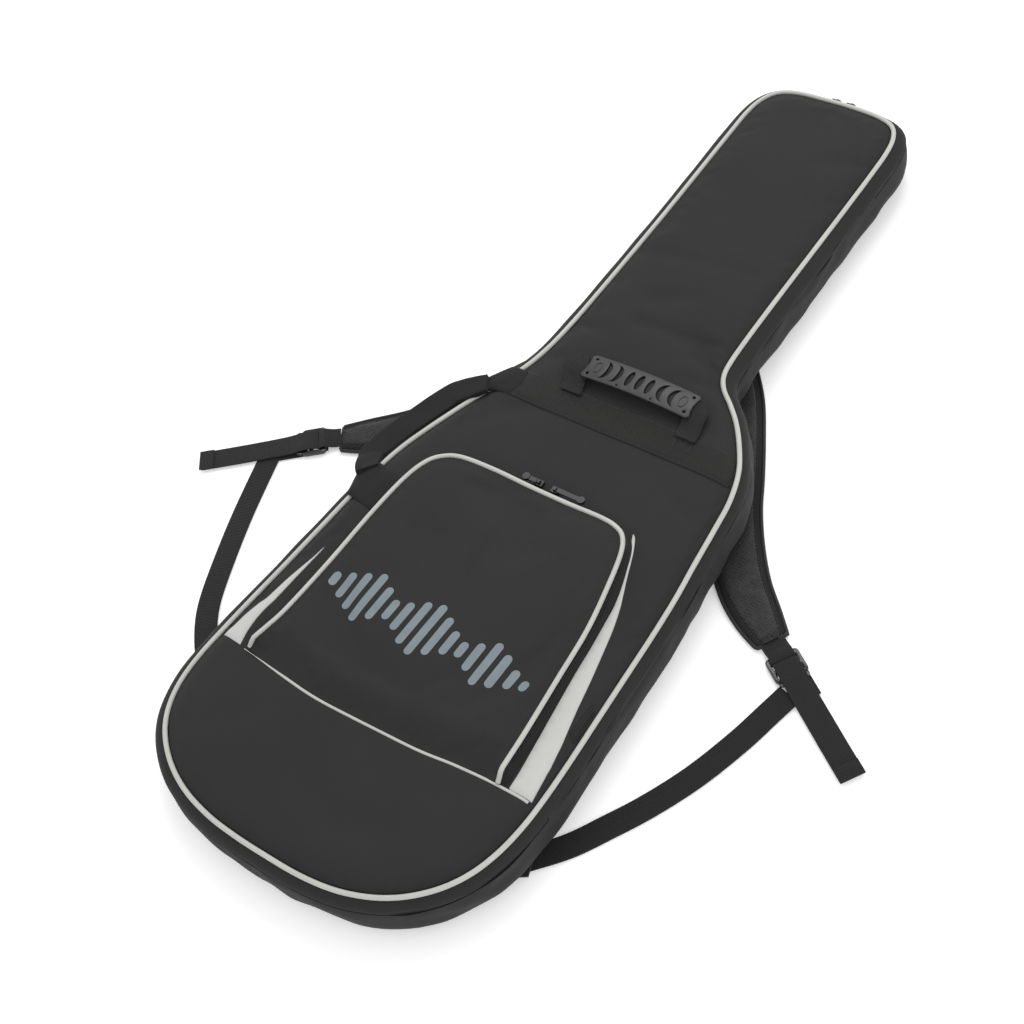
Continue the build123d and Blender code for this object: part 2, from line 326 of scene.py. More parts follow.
def wall(name, loop, profile, material, closed=True, uneven=0.0, scale=40.0):
    """A skin swept along a loop; profile gives (offset, z) rows, the offset per point."""
    loop = np.array(loop, float)
    normal = outwards(loop, closed)
    length = run_length(loop)
    points, uv = [], []
    for row, (offset, z) in enumerate(profile):
        offset = np.broadcast_to(np.array(offset, float), (len(loop),))
        height = np.broadcast_to(np.array(z, float), (len(loop),))
        free = uneven if 0 < row < len(profile) - 1 else 0.0
        for i, (x, y) in enumerate(loop):
            push = offset[i] + (wander(x, y, height[i] * 2.2, scale, free) if free else 0.0)
            points.append((x + normal[i][0] * push, y + normal[i][1] * push, height[i]))
            uv.append((length[i], height[i] + row * 0.2))
    faces = grid_faces(len(profile), len(loop), False, closed)
    return make(name, points, faces, material, uv, 60)


def filled(outer, step, rings=(), holes=(), extra=()):
    """Triangles of a flat region: rim, offset rings inside it, holes and a grid."""
    outer = np.array(outer, float)
    normal = outwards(outer)
    loops = [outer] + [outer - normal * ring for ring in rings] + [np.array(h, float) for h in holes]
    points, edges = [], []
    for loop in loops:
        base = len(points)
        points.extend(loop.tolist())
        edges.extend((base + i, base + (i + 1) % len(loop)) for i in range(len(loop)))
    low, high = outer.min(0), outer.max(0)
    xs = np.arange(low[0] + step / 2, high[0], step)
    ys = np.arange(low[1] + step / 2, high[1], step)
    grid = np.array([(x + (step / 2 if j % 2 else 0), y) for j, y in enumerate(ys) for x in xs])
    if len(grid):
        margin = max(list(rings) + [0]) + step * 0.45
        keep = inside_loop(grid, outer) & (edge_distance(grid, outer) > margin)
        for hole in holes:
            hole = np.array(hole, float)
            keep &= ~inside_loop(grid, hole) & (edge_distance(grid, hole) > step * 0.45)
        points.extend(grid[keep].tolist())
    points.extend(extra)
    found = delaunay_2d_cdt([Vector(p) for p in points], edges, [], 0, 1e-4)
    flat = np.array([tuple(p) for p in found[0]])
    faces = [tuple(f) for f in found[2]]
    middles = np.array([flat[list(f)].mean(0) for f in faces])
    keep = inside_loop(middles, outer)
    for hole in holes:
        keep &= ~inside_loop(middles, np.array(hole, float))
    faces = [f for f, k in zip(faces, keep) if k]
    turned = []
    for a, b, c in faces:
        area = np.cross(flat[b] - flat[a], flat[c] - flat[a])
        turned.append((a, b, c) if area > 0 else (a, c, b))
    return flat, turned


def border_edges(faces):
    """Directed edges that only one face uses."""
    seen = set()
    for face in faces:
        for a, b in zip(face, face[1:] + face[:1]):
            seen.add((a, b))
    return [(a, b) for a, b in seen if (b, a) not in seen]


def thick_faces(faces, count):
    """Faces of a thick sheet: top, bottom and rim; the bottom's points follow the top's."""
    bottom = [(a + count, c + count, b + count) for a, b, c in faces]
    return list(faces) + bottom + [(a, a + count, b + count, b) for a, b in border_edges(faces)]


def plate(name, outer, holes, thickness, material, shape, bevel=0.0, step=4.0):
    """A flat plate with holes; shape(x, y, side) puts each point, side 0 below, 1 above."""
    flat, faces = filled(outer, step, (), holes)
    points = [shape(x, y, side, thickness) for side in (1, 0) for x, y in flat]
    uv = [(x, y) for x, y in flat] * 2
    piece = make(name, points, thick_faces(faces, len(flat)), material, uv, 35)
    if bevel:
        bevelled(piece, bevel)
    return piece


class Surface:
    """Reads heights off the top of a piece."""

    def __init__(self, piece):
        mesh = piece.data
        points = [v.co.copy() for v in mesh.vertices]
        self.tree = BVHTree.FromPolygons(points, [tuple(p.vertices) for p in mesh.polygons])

    def height(self, x, y, missing=MISSING_HEIGHT):
        px, py, _ = frame_point(x, y, 0)
        hit = self.tree.ray_cast(Vector((px, py, 0.3)), Vector((0, 0, -1)))
        return hit[0].z * 1000 if hit[0] else missing


def patch(name, outer, surface, lift, material, step=7.0, edge=0.9, missing=MISSING_HEIGHT,
          crown=0.0):
    """A sewn-on layer that follows the surface below, with a rolled edge."""
    outer = np.array(outer, float)
    flat, faces = filled(outer, step, (edge,))
    distance = edge_distance(flat, outer)
    points = []
    for (x, y), d in zip(flat, distance):
        rise = lift * (0.25 + 0.75 * min(1.0, d / edge)) + crown * swell(d, 14)
        points.append((x, y, surface.height(x, y, missing) + rise))
    rim = border_edges(faces)
    lower = {}
    for a, b in rim:
        for v in (a, b):
            if v not in lower:
                lower[v] = len(points)
                x, y, z = points[v]
                points.append((x, y, z - lift * 0.25 - 0.5))
        faces.append((a, lower[a], lower[b], b))
    piece = make(name, points, faces, material, None, 70)
    piece["flat_area"] = abs(twice_area(outer)) / 2
    return piece


def declare_sheet(piece):
    flat = np.array([tuple(v.co)[:2] for v in piece.data.vertices])
    best = None
    for degrees in range(0, 90, 5):
        turn = math.radians(degrees)
        axes = np.array([[math.cos(turn), -math.sin(turn)], [math.sin(turn), math.cos(turn)]])
        size = np.ptp(flat @ axes, axis=0)
        if best is None or size[0] * size[1] < best[0] * best[1]:
            best = size
    del piece["flat_area"]


def ribbon(name, path, widths, thickness, material, uneven=0.0):
    """Flat webbing along a 3-D line, level across, with rounded selvedges."""
    path = np.array(path, float)
    widths = np.broadcast_to(np.array(widths, float), (len(path),))
    along = tangents(path)
    section = [(-1, 0.0), (-0.985, 0.42), (-0.93, 0.5), (-0.5, 0.5), (0, 0.5), (0.5, 0.5),
               (0.93, 0.5), (0.985, 0.42), (1, 0.0), (0.985, -0.42), (0.93, -0.5), (0.5, -0.5),
               (0, -0.5), (-0.5, -0.5), (-0.93, -0.5), (-0.985, -0.42)]
    points, uv = [], []
    length = 0.0
    for i, centre in enumerate(path):
        side, up = across(along[i])
        length += np.linalg.norm(path[i] - path[i - 1]) if i else 0
        for share, high in section:
            curl = wander(centre[0], centre[1], share * 9, 34.0, uneven) if uneven else 0.0
            points.append(centre + side * share * widths[i] / 2 + up * (high * thickness + curl))
            uv.append((length, share * widths[i] / 2))
    count = len(section)
    faces = grid_faces(len(path), count, False, True)
    faces.append(list(range(count)))
    last = (len(path) - 1) * count
    faces.append([last + k for k in range(count)][::-1])
    return make(name, points, faces, material, uv, 45)


def dashes(name, lines, material, pitch=3.2, stitch=2.1, thick=0.28):
    """Machine stitching along one or more 3-D lines."""
    points, faces = [], []
    for line in lines:
        line = respaced(line, 0.5)
        length = run_length(line)
        for k in range(int(length[-1] // pitch)):
            a = (k + 0.5) * pitch - stitch / 2
            ends = [np.array([np.interp(t, length, line[:, c]) for c in range(3)])
                    for t in (a, a + stitch * 0.3, a + stitch * 0.7, a + stitch)]
            along = ends[-1] - ends[0]
            along /= max(np.linalg.norm(along), 1e-9)
            side, up = across(along)
            base = len(points)
            for end, size in zip(ends, (0.35, 1, 1, 0.35)):
                drop = -0.4 * thick if size < 1 else 0.0
                for angle in (0, 1, 2, 3, 4, 5):
                    turn = angle * math.pi / 3
                    points.append(end + side * math.cos(turn) * thick * size
                                  + up * (math.sin(turn) * thick * size + drop))
            faces.extend([tuple(base + v for v in f) for f in grid_faces(4, 6, False, True, True)])
    return make(name, points, faces, material, None, 80)


def boxes(name, items, material, sharp=30):
    """Many small blocks in one piece: (centre, along, side, up, sizes)."""
    points, faces = [], []
    for centre, along, side, up, (a, b, c) in items:
        base = len(points)
        for i, j, k in ((-1, -1, -1), (1, -1, -1), (1, 1, -1), (-1, 1, -1),
                        (-1, -1, 1), (1, -1, 1), (1, 1, 1), (-1, 1, 1)):
            points.append(centre + along * i * a / 2 + side * j * b / 2 + up * k * c / 2)
        for f in ((0, 3, 2, 1), (4, 5, 6, 7), (0, 1, 5, 4), (1, 2, 6, 5), (2, 3, 7, 6), (3, 0, 4, 7)):
            faces.append(tuple(base + v for v in f))
    return make(name, points, faces, material, None, sharp)


# ---------------------------------------------------------------- cloth

CLOTH_FRAMES = 20
CLOTH_STIFFNESS = 12.0


def rim_pins(drawing, rim, full=1.15, reach=9):
    """Pin weights that hold a cover at its rim and let go further in."""
    return np.clip(full - edge_distance(drawing[:, :2], rim) / reach, 0, 1)


def coordinates(mesh):
    """A mesh's points as an array, in metres."""
    values = np.zeros(len(mesh.vertices) * 3, np.float32)
    mesh.vertices.foreach_get("co", values)
    return values.reshape(-1, 3)


def puffed(piece, pinned, pressure, cap, voxel, growth):
    """Blow a padded piece up with a cloth simulation and apply the result.

    The cloth moves by cap millimetres at most. Voxel is a remesh size, and 0 leaves it out.
    """
    material = piece.data.materials[0]
    if voxel:
        remesh = piece.modifiers.new("remesh", "REMESH")
        remesh.mode = "VOXEL"
        remesh.voxel_size = voxel / 1000
        remesh.use_smooth_shade = True
        baked(piece)
    start = coordinates(piece.data)
    drawing = start * 1000 + np.array([0, ORIGIN_FROM_TAIL, 0])
    weights = pinned(drawing)
    group = piece.vertex_groups.new(name="pin")
    for i, weight in enumerate(weights):
        if weight > 0.01:
            group.add([i], float(weight), "REPLACE")
    modifier = piece.modifiers.new("cloth", "CLOTH")
    cloth = modifier.settings
    cloth.quality = 5
    cloth.mass = 0.25
    cloth.tension_stiffness = CLOTH_STIFFNESS
    cloth.compression_stiffness = CLOTH_STIFFNESS
    cloth.shear_stiffness = 4
    cloth.bending_stiffness = 0.6
    cloth.use_pressure = True
    cloth.uniform_pressure_force = pressure
    cloth.shrink_min = -growth
    cloth.vertex_group_mass = "pin"
    cloth.effector_weights.gravity = 0
    modifier.point_cache.frame_start = 1
    modifier.point_cache.frame_end = CLOTH_FRAMES
    for number in range(1, CLOTH_FRAMES + 1):
        bpy.context.scene.frame_set(number)
    baked(piece)
    bpy.context.scene.frame_set(1)
    mesh = piece.data
    step = coordinates(mesh) - start
    size = np.linalg.norm(step, axis=1)
    limit = cap / 1000
    soft = limit * np.tanh(size / limit) / np.maximum(size, 1e-9)
    mesh.vertices.foreach_set("co", (start + step * soft[:, None]).astype(np.float32).ravel())
    mesh.update()
    piece.vertex_groups.clear()
    subdivide = piece.modifiers.new("subdivide", "SUBSURF")
    subdivide.levels = 1
    subdivide.render_levels = 1
    baked(piece)
    mesh = piece.data
    while mesh.uv_layers:
        mesh.uv_layers.remove(mesh.uv_layers[0])
    layer = mesh.uv_layers.new(name="UVMap")
    flat = coordinates(mesh)[:, :2]
    index = np.zeros(len(mesh.loops), np.int32)
    mesh.loops.foreach_get("vertex_index", index)
    layer.data.foreach_set("uv", flat[index].ravel())
    if not mesh.materials:
        mesh.materials.append(material)
    mesh.shade_smooth()
    return piece


# ---------------------------------------------------------------- materials

class Nodes:
    """A material's node tree, with short ways to add to it."""

    def __init__(self, name, colour, roughness, metallic=0.0, sheen=0.0, specular=0.5):
        self.material = bpy.data.materials.new(name)
        self.material.use_nodes = True
        self.tree = self.material.node_tree
        self.shader = self.tree.nodes["Principled BSDF"]
        self.shader.inputs["Base Color"].default_value = (*colour, 1)
        self.shader.inputs["Roughness"].default_value = roughness
        self.shader.inputs["Metallic"].default_value = metallic
        self.shader.inputs["Specular IOR Level"].default_value = specular
        if sheen:
            self.shader.inputs["Sheen Weight"].default_value = sheen
            self.shader.inputs["Sheen Roughness"].default_value = 0.5
        self.colour = colour

    def add(self, kind, **values):
        """A new node with its inputs or settings filled in."""
        node = self.tree.nodes.new(kind)
        for key, value in values.items():
            if key in node.inputs:
                node.inputs[key].default_value = value
            else:
                setattr(node, key, value)
        return node

    def link(self, a, out, b, into):
        """Joins an output of one node to an input of another."""
        self.tree.links.new(a.outputs[out], b.inputs[into])
        return b

    def place(self, uv=True):
        """Texture coordinates, along the cloth or in the object's space."""
        where = self.add("ShaderNodeTexCoord")
        mapping = self.add("ShaderNodeMapping")
        self.link(where, "UV" if uv else "Object", mapping, "Vector")
        return mapping

    def noise(self, mapping, scale, detail=3.0, rough=0.55):
        """A noise texture."""
        node = self.add("ShaderNodeTexNoise")
        node.inputs["Scale"].default_value = scale
        node.inputs["Detail"].default_value = detail
        node.inputs["Roughness"].default_value = rough
        self.link(mapping, "Vector", node, "Vector")
        return node

    def wave(self, mapping, pitch, direction, distortion=0.0):
        """Bands with a spacing in millimetres."""
        node = self.add("ShaderNodeTexWave", wave_type="BANDS", bands_direction=direction)
        node.inputs["Scale"].default_value = 314.16 / pitch
        node.inputs["Distortion"].default_value = distortion
        node.inputs["Detail Scale"].default_value = 2.0
        self.link(mapping, "Vector", node, "Vector")
        return node

    def maths(self, operation, a, b):
        """Each input is a (node, output) pair or a number."""
        node = self.add("ShaderNodeMath", operation=operation)
        for k, value in enumerate((a, b)):
            if isinstance(value, tuple):
                self.tree.links.new(value[0].outputs[value[1]], node.inputs[k])
            else:
                node.inputs[k].default_value = value
        return node

    def tint(self, factor, low, high):
        """Base colour running from low to high times the plain colour."""
        ramp = self.add("ShaderNodeValToRGB")
        ramp.color_ramp.elements[0].color = (*[c * low for c in self.colour], 1)
        ramp.color_ramp.elements[1].color = (*[min(1, c * high) for c in self.colour], 1)
        self.tree.links.new(factor[0].outputs[factor[1]], ramp.inputs["Fac"])
        self.link(ramp, "Color", self.shader, "Base Color")
        return ramp

    def rough(self, factor, low, high):
        """Roughness running from low to high."""
        node = self.add("ShaderNodeMapRange")
        node.inputs["To Min"].default_value = low
        node.inputs["To Max"].default_value = high
        self.tree.links.new(factor[0].outputs[factor[1]], node.inputs["Value"])
        self.link(node, "Result", self.shader, "Roughness")

    def bump(self, factor, strength, distance, before=None):
        """Surface relief, on top of the one before."""
        node = self.add("ShaderNodeBump")
        node.inputs["Strength"].default_value = strength
        node.inputs["Distance"].default_value = distance
        self.tree.links.new(factor[0].outputs[factor[1]], node.inputs["Height"])
        if before is not None:
            self.link(before, "Normal", node, "Normal")
        self.link(node, "Normal", self.shader, "Normal")
        return node


def woven(name, colour, pitch=0.9, roughness=0.78, sheen=0.12, depth=0.00012, blotch=0.16):
    """Plain-weave cloth: crossing threads, slubs, faint blotches and soft puckers."""
    made = Nodes(name, colour, roughness, sheen=sheen, specular=0.24)
    cloth = made.place()
    warp = made.wave(cloth, pitch, "X", 0.35)
    weft = made.wave(cloth, pitch, "Y", 0.35)
    threads = made.maths("MULTIPLY", (warp, "Fac"), (weft, "Fac"))
    solid = made.place(uv=False)
    large = made.noise(solid, 9, 4)
    slub = made.noise(solid, 420, 2)
    mixed = made.maths("ADD", (large, "Fac"), (made.maths("MULTIPLY", (slub, "Fac"), 0.45), "Value"))
    spread = made.maths("SUBTRACT", (mixed, "Value"), 0.22)
    made.tint((spread, "Value"), 1 - blotch, 1 + blotch)
    made.rough((slub, "Fac"), roughness - 0.08, min(1, roughness + 0.1))
    broad = made.bump((made.noise(solid, 22, 4), "Fac"), 0.5, 0.0018)
    made.bump((threads, "Value"), 0.5, depth, broad)
    return made.material


def ribbed(name, colour, across=1.6, roughness=0.62, fleck_and_rib_shade=0.25):
    """Webbing or grosgrain with ribs across its length, random flecks, and painted shade on the ribs.
    """
    made = Nodes(name, colour, roughness, sheen=0.04, specular=0.3)
    cloth = made.place()
    ribs = made.wave(cloth, across, "X", 0.15)
    fine = made.wave(cloth, 0.9, "Y", 0.3)
    threads = made.maths("ADD", (ribs, "Fac"), (made.maths("MULTIPLY", (fine, "Fac"), 0.35), "Value"))
    solid = made.place(uv=False)
    spots = made.noise(solid, 600, 2)
    # Random flecks of tone, plus painted shade on the ribs: crests painted lighter, furrows darker.
    shade = made.maths("ADD", (made.maths("MULTIPLY", (spots, "Fac"), 0.75), "Value"),
                       (made.maths("MULTIPLY", (ribs, "Fac"), 0.3), "Value"))
    made.tint((shade, "Value"), 1 - fleck_and_rib_shade, 1 + fleck_and_rib_shade * 1.4)
    made.rough((spots, "Fac"), roughness - 0.1, roughness + 0.15)
    made.bump((threads, "Value"), 0.9, 0.0006)
    return made.material


def meshed(name, colour, pitch=3.2):
    """Open spacer mesh: a field of small holes, painted dark inside as shade, between lighter threads.
    """
    made = Nodes(name, colour, 0.7, sheen=0.1, specular=0.35)
    cloth = made.place(uv=False)
    cells = made.add("ShaderNodeTexVoronoi", feature="F1")
    cells.inputs["Scale"].default_value = 1000 / pitch
    cells.inputs["Randomness"].default_value = 0.25
    made.link(cloth, "Vector", cells, "Vector")
    # Painted shade: the holes are painted dark as the shade inside them, and the threads between them
    # lighter.
    made.tint((cells, "Distance"), 0.35, 1.9)
    made.rough((cells, "Distance"), 0.85, 0.55)
    made.bump((cells, "Distance"), 0.9, 0.0012)
    return made.material


def moulded(name, colour, roughness, grain=900, depth=0.00006, specular=0.5):
    """Moulded plastic, rubber or enamelled metal with fine grain and handling wear."""
    made = Nodes(name, colour, roughness, specular=specular)
    solid = made.place(uv=False)
    fine = made.noise(solid, grain, 2)
    scuff = made.noise(solid, 60, 4)
    made.tint((scuff, "Fac"), 0.8, 1.25)
    made.rough((scuff, "Fac"), roughness * 0.75, min(1, roughness * 1.35))
    made.bump((fine, "Fac"), 0.4, depth)
    return made.material


def smooth_cloth(name, colour, roughness=0.5):
    """Coated fabric over a cord: nearly smooth with tiny wrinkles across it."""
    made = Nodes(name, colour, roughness, sheen=0.05, specular=0.4)
    cloth = made.place()
    folds = made.wave(cloth, 9, "X", 4.0)
    solid = made.place(uv=False)
    dirt = made.noise(solid, 35, 4)
    made.tint((dirt, "Fac"), 0.86, 1.1)
    made.rough((dirt, "Fac"), roughness - 0.08, roughness + 0.12)
    made.bump((folds, "Fac"), 0.25, 0.0003)
    return made.material


def floor_material():
    """Bright white floor that keeps only the faintest shadow."""
    made = Nodes("studio_floor", (0.93, 0.93, 0.93), 0.9, specular=0.1)
    made.shader.inputs["Emission Color"].default_value = (1, 1, 1, 1)
    made.shader.inputs["Emission Strength"].default_value = 0.3
    solid = made.place(uv=False)
    made.tint((made.noise(solid, 3, 2), "Fac"), 0.99, 1.0)
    return made.material


PIPING_COLOUR = (0.50, 0.50, 0.475)
shell_cloth = woven("woven_shell", (0.0205, 0.0203, 0.0202), sheen=0.03)
wall_cloth = woven("woven_wall", (0.0185, 0.0185, 0.0183), roughness=0.8, sheen=0.03)
pad_cloth = woven("woven_pad", (0.0135, 0.0135, 0.0135), roughness=0.82, sheen=0.03)
pale_cloth = woven("woven_pale", (0.52, 0.525, 0.505), pitch=1.1, roughness=0.7, blotch=0.07)
lining_cloth = woven("lining", (0.02, 0.02, 0.022), pitch=0.6, roughness=0.9, sheen=0.4)
band_cloth = ribbed("grosgrain_band", (0.0098, 0.0098, 0.0092), across=2.6, roughness=0.62, fleck_and_rib_shade=0.9)
webbing_cloth = ribbed("webbing", (0.0115, 0.0115, 0.0112), across=1.9)
tape_cloth = ribbed("zip_tape", (0.014, 0.014, 0.014), across=1.2, roughness=0.8)
coil_material = moulded("zip_coil", (0.02, 0.02, 0.02), 0.45)
mesh_cloth = meshed("spacer_mesh", (0.017, 0.017, 0.017))
piping_cloth = smooth_cloth("piping", PIPING_COLOUR)
binding_cloth = smooth_cloth("binding", (0.012, 0.012, 0.012), 0.6)
thread_material = moulded("thread", (0.035, 0.035, 0.035), 0.55, grain=1500)
grip_rubber = moulded("grip_rubber", (0.024, 0.024, 0.024), 0.45, grain=1300, depth=0.00008)
# Painted shade: near-black rubber for the plate in the recess under the grip's cut-outs.
recess_shade_rubber = moulded("grip_recess_shade", (0.0045, 0.0045, 0.0045), 0.7)
buckle_plastic = moulded("buckle_plastic", (0.009, 0.009, 0.0095), 0.16, grain=300)
enamel = moulded("zip_enamel", (0.0075, 0.0075, 0.008), 0.34, grain=300)
print_ink = moulded("print_ink", (0.165, 0.205, 0.225), 0.6, grain=700)

# ---------------------------------------------------------------- bag shell

ring = respaced(curve(OUTLINE, True), RING_STEP, True)
ring_normal = outwards(ring)


def bulge():
    """How far the soft wall stands out past the piping, around the bag."""
    result = []
    for y, (nx, ny) in zip(ring[:, 1], ring_normal):
        if nx > 0:
            high = ease((y - 570) / 90)
            side = 10.0 * (1 - high) + 14.5 * high
        else:
            side = 15.5
        end = 10.0 if ny > 0 else 12.5
        weight = abs(nx)
        result.append(side * weight + end * (1 - weight))
    return np.array(result)


stand_out = bulge()


def rest_depth(x, y):
    """Underside height: flat rear face in the middle, clear of the floor elsewhere."""
    dx, dy = max(abs(x) - 55, 0), max(abs(y - 260) - 150, 0)
    gap = math.hypot(dx, dy) - 60
    return FLAT_REAR + (UNDERSIDE - FLAT_REAR) * ease((gap + 1) / 22)


# Each fold of the side wall: where it is, how wide and how deep.
WALL_FOLDS = [(98, 646, 14, 3.2), (92, 668, 8, -2.2), (92, 700, 9, 2.0), (120, 618, 10, -1.8),
              (92, 880, 12, 1.6), (-172, 372, 10, 3.0), (-178, 330, 14, -2.0), (-100, 610, 10, 2.0),
              (92, 930, 8, 1.8), (190, 380, 14, 1.5), (60, 0, 18, 1.6), (-100, 8, 16, 1.5)]


def slump(piece):
    """Soft upright folds in the side wall where the bag narrows and bends."""
    for vertex in piece.data.vertices:
        x, y, z = vertex.co.x * 1000, vertex.co.y * 1000 + ORIGIN_FROM_TAIL, vertex.co.z * 1000
        level = math.exp(-((z - 30) / 13) ** 2)
        push = 0.0
        for fx, fy, width, deep in WALL_FOLDS:
            away = math.hypot(x - fx, y - fy - (z - 30) * 0.35) / width
            push += deep * math.exp(-away * away)
        index = int(np.argmin(np.hypot(ring[:, 0] - x, ring[:, 1] - y)))
        vertex.co.x -= ring_normal[index][0] * push * level / 1000
        vertex.co.y -= ring_normal[index][1] * push * level / 1000


def back_shell():
    """The soft side wall and its underside."""
    rows = [(0.93, 48.6), (0.95, 47.5), (0.99, 43), (1.0, 37), (1.0, 31), (0.97, 25), (0.88, 19.5),
            (0.68, 15), (0.38, 12)]
    profile = [(-2.5, 47.4), (stand_out * 0.9 - 0.8, 48.0)]
    profile += [(stand_out * share, z) for share, z in rows] + [(-1.5, 10.2), (-8, UNDERSIDE)]
    piece = wall("back_shell", ring, profile, wall_cloth, True, 2.4, 32)
    slump(piece)
    under = ring - ring_normal * 8
    flat, faces = filled(under, 9.0)
    bottom = make("back_under", [(x, y, rest_depth(x, y)) for x, y in flat],
                  [f[::-1] for f in faces], wall_cloth)
    join([piece, bottom])
    return place(piece, "back", "woven_black", ["back_panel", "side_wall", "side_foam"])


def join(pieces):
    """Merge pieces into the first and weld their shared edge."""
    mesh = bmesh.new()
    for piece in pieces:
        mesh.from_mesh(piece.data)
    bmesh.ops.remove_doubles(mesh, verts=mesh.verts, dist=0.0003)
    mesh.to_mesh(pieces[0].data)
    mesh.free()
    pieces[0].data.shade_smooth()
    for piece in pieces[1:]:
        bpy.data.objects.remove(piece)
    return pieces[0]


def crown(distance):
    """Height of the front panel a distance in from its piping."""
    return 61.0 + 5.2 * (1 - np.exp(-np.maximum(distance, 0) / 9.0))


# Each fold of the front: its deep end, its shallow end, how wide and how deep.
CREASES = [(84, 646, 52, 655, 6, 7.0), (90, 634, 60, 622, 7, 4.2), (-31, 668, 62, 676, 8, 3.6),
           (-30, 703, 18, 728, 10, 3.2), (62, 660, 20, 690, 8, 3.2), (-92, 640, -50, 646, 8, 3.2),
           (-70, 760, 50, 775, 14, 1.8), (-120, 470, -96, 505, 9, 1.8), (150, 480, 110, 505, 10, 1.8),
           (-150, 60, -90, 110, 14, 2.4), (40, 50, 120, 90, 14, 2.2), (-40, 100, 30, 40, 16, 2.0),
           (-60, 880, 40, 850, 16, 1.6), (60, 960, 10, 930, 12, 1.6), (-170, 210, -150, 330, 8, 1.2)]


def crease(x, y):
    """Depth of the soft folds at a spot of the front panel."""
    depth = 0.0
    for x0, y0, x1, y1, width, deep in CREASES:
        run = (x1 - x0, y1 - y0)
        t = ((x - x0) * run[0] + (y - y0) * run[1]) / (run[0] ** 2 + run[1] ** 2)
        t = min(1, max(0, t))
        away = math.hypot(x - x0 - t * run[0], y - y0 - t * run[1]) / width
        depth += deep * math.exp(-away * away) * (1 - 0.7 * t)
    return depth


def front_cover():
    """The padded front panel, blown up a little inside its piping."""
    rim = ring - ring_normal * 0.5
    flat, faces = filled(rim, 9.0, (3.0, 7.0, 13.0))
    distance = edge_distance(flat, rim)
    top = crown(distance)
    points = []
    for (x, y), z, d in zip(flat, top, distance):
        soft = min(1, d / 30)
        uneven = wander(x, y, 0, 120, 1.6) + wander(x, y, 0, 38, 0.7)
        points.append((x, y, z + soft * uneven - min(1, d / 12) * crease(x, y)))
    points += [(x, y, 53.5) for x, y in flat]
    piece = make("front_cover", points, thick_faces(faces, len(flat)), shell_cloth)

    def pinned(drawing):
        return np.where(drawing[:, 2] < 58.5, 1.0, rim_pins(drawing, rim))

    puffed(piece, pinned, 0.9, 2.6, voxel=4.5, growth=0.02)
    return place(piece, "spine", "woven_black", ["front_panel", "lid_foam", "spine_strip"])


back_shell()
front_piece = front_cover()
front = Surface(front_piece)

main_piping = tube("main_piping", [(x, y, PIPE_Z) for x, y in ring], 2.55, piping_cloth, True)
place(main_piping, "spine", "piping_grey", ["front_piping", "spine_piping"])

lid_rows = [(-5.0, 52.4), (stand_out * 0.9 - 0.8, 52.2)]
lid_rows += [(stand_out * share, z) for share, z in
             ((ZIP_DEPTH, 51.4), (0.9, 53.0), (0.8, 55.5), (0.62, 58), (0.38, 60))]
lid_rows.append((1.2, 61.2))
lid_skirt = wall("lid_skirt", ring, lid_rows, wall_cloth, True, 0.8)
place(lid_skirt, "spine", "woven_black", ["lid_wall"])


# ---------------------------------------------------------------- main zip

def spine_side(points, gap):
    """Which points lie on the opening side of the hinge line, by more than a gap."""
    dx, dy = SPINE_HIGH[0] - SPINE_LOW[0], SPINE_HIGH[1] - SPINE_LOW[1]
    cross = dx * (points[:, 1] - SPINE_LOW[1]) - dy * (points[:, 0] - SPINE_LOW[0])
    return cross / math.hypot(dx, dy) > gap


plain = (ring[:, 0] > 20) & (ring[:, 1] > SPINE_LOW[1]) & (ring[:, 1] < SPINE_HIGH[1])
first = int(np.argmax(plain & ~np.roll(plain, 1)))
turned = np.roll(np.arange(len(ring)), -first)
zip_index = [i for i in turned if not plain[i]]
plain_index = [turned[-1]] + [i for i in turned if plain[i]] + [zip_index[0]]
zip_ring, zip_out = ring[zip_index], stand_out[zip_index]
plain_ring, plain_out = ring[plain_index], stand_out[plain_index]


def zip_parts():
    """Both tapes and rows of teeth, and the wall strip that stays sewn."""
    seat = zip_out * ZIP_DEPTH
    inside = seat - 1.6
    lower = wall("zip_tape_lower", zip_ring, [(seat, 48.5), (inside, 48.3), (inside, 49.6)],
                 tape_cloth, False)
    place(lower, "back", "zip_tape", ["main_zip_lower"])
    upper = wall("zip_tape_upper", zip_ring, [(inside, 50.4), (inside, 51.6), (seat, 51.5)],
                 tape_cloth, False)
    place(upper, "lid", "zip_tape", ["main_zip_upper"])
    gusset = wall("spine_gusset", plain_ring,
                  [(plain_out * ZIP_DEPTH, 48.4), (plain_out * 0.95, 49.6),
                   (plain_out * ZIP_DEPTH, 51.6)], wall_cloth, False)
    place(gusset, "gusset", "woven_black", ["spine_wall"])
    for name, body, shift, z in (("zip_coil_lower", "back", 0.0, 49.3),
                                 ("zip_coil_upper", "lid", 1.15, 50.75)):
        line = zip_ring + ring_normal[zip_index] * (seat - 1.3)[:, None]
        line = respaced(line, 2.3)
        along = tangents(line)
        items = []
        for i in range(1, len(line) - 1):
            a = np.array([*along[i], 0.0])
            side = np.array([along[i][1], -along[i][0], 0.0])
            centre = np.array([line[i][0], line[i][1], z]) + a * shift
            items.append((centre, a, side, np.array([0, 0, 1.0]), (1.05, 1.6, 2.3)))
        place(boxes(name, items, coil_material), body, "zip_tape")


zip_parts()


# ---------------------------------------------------------------- inside

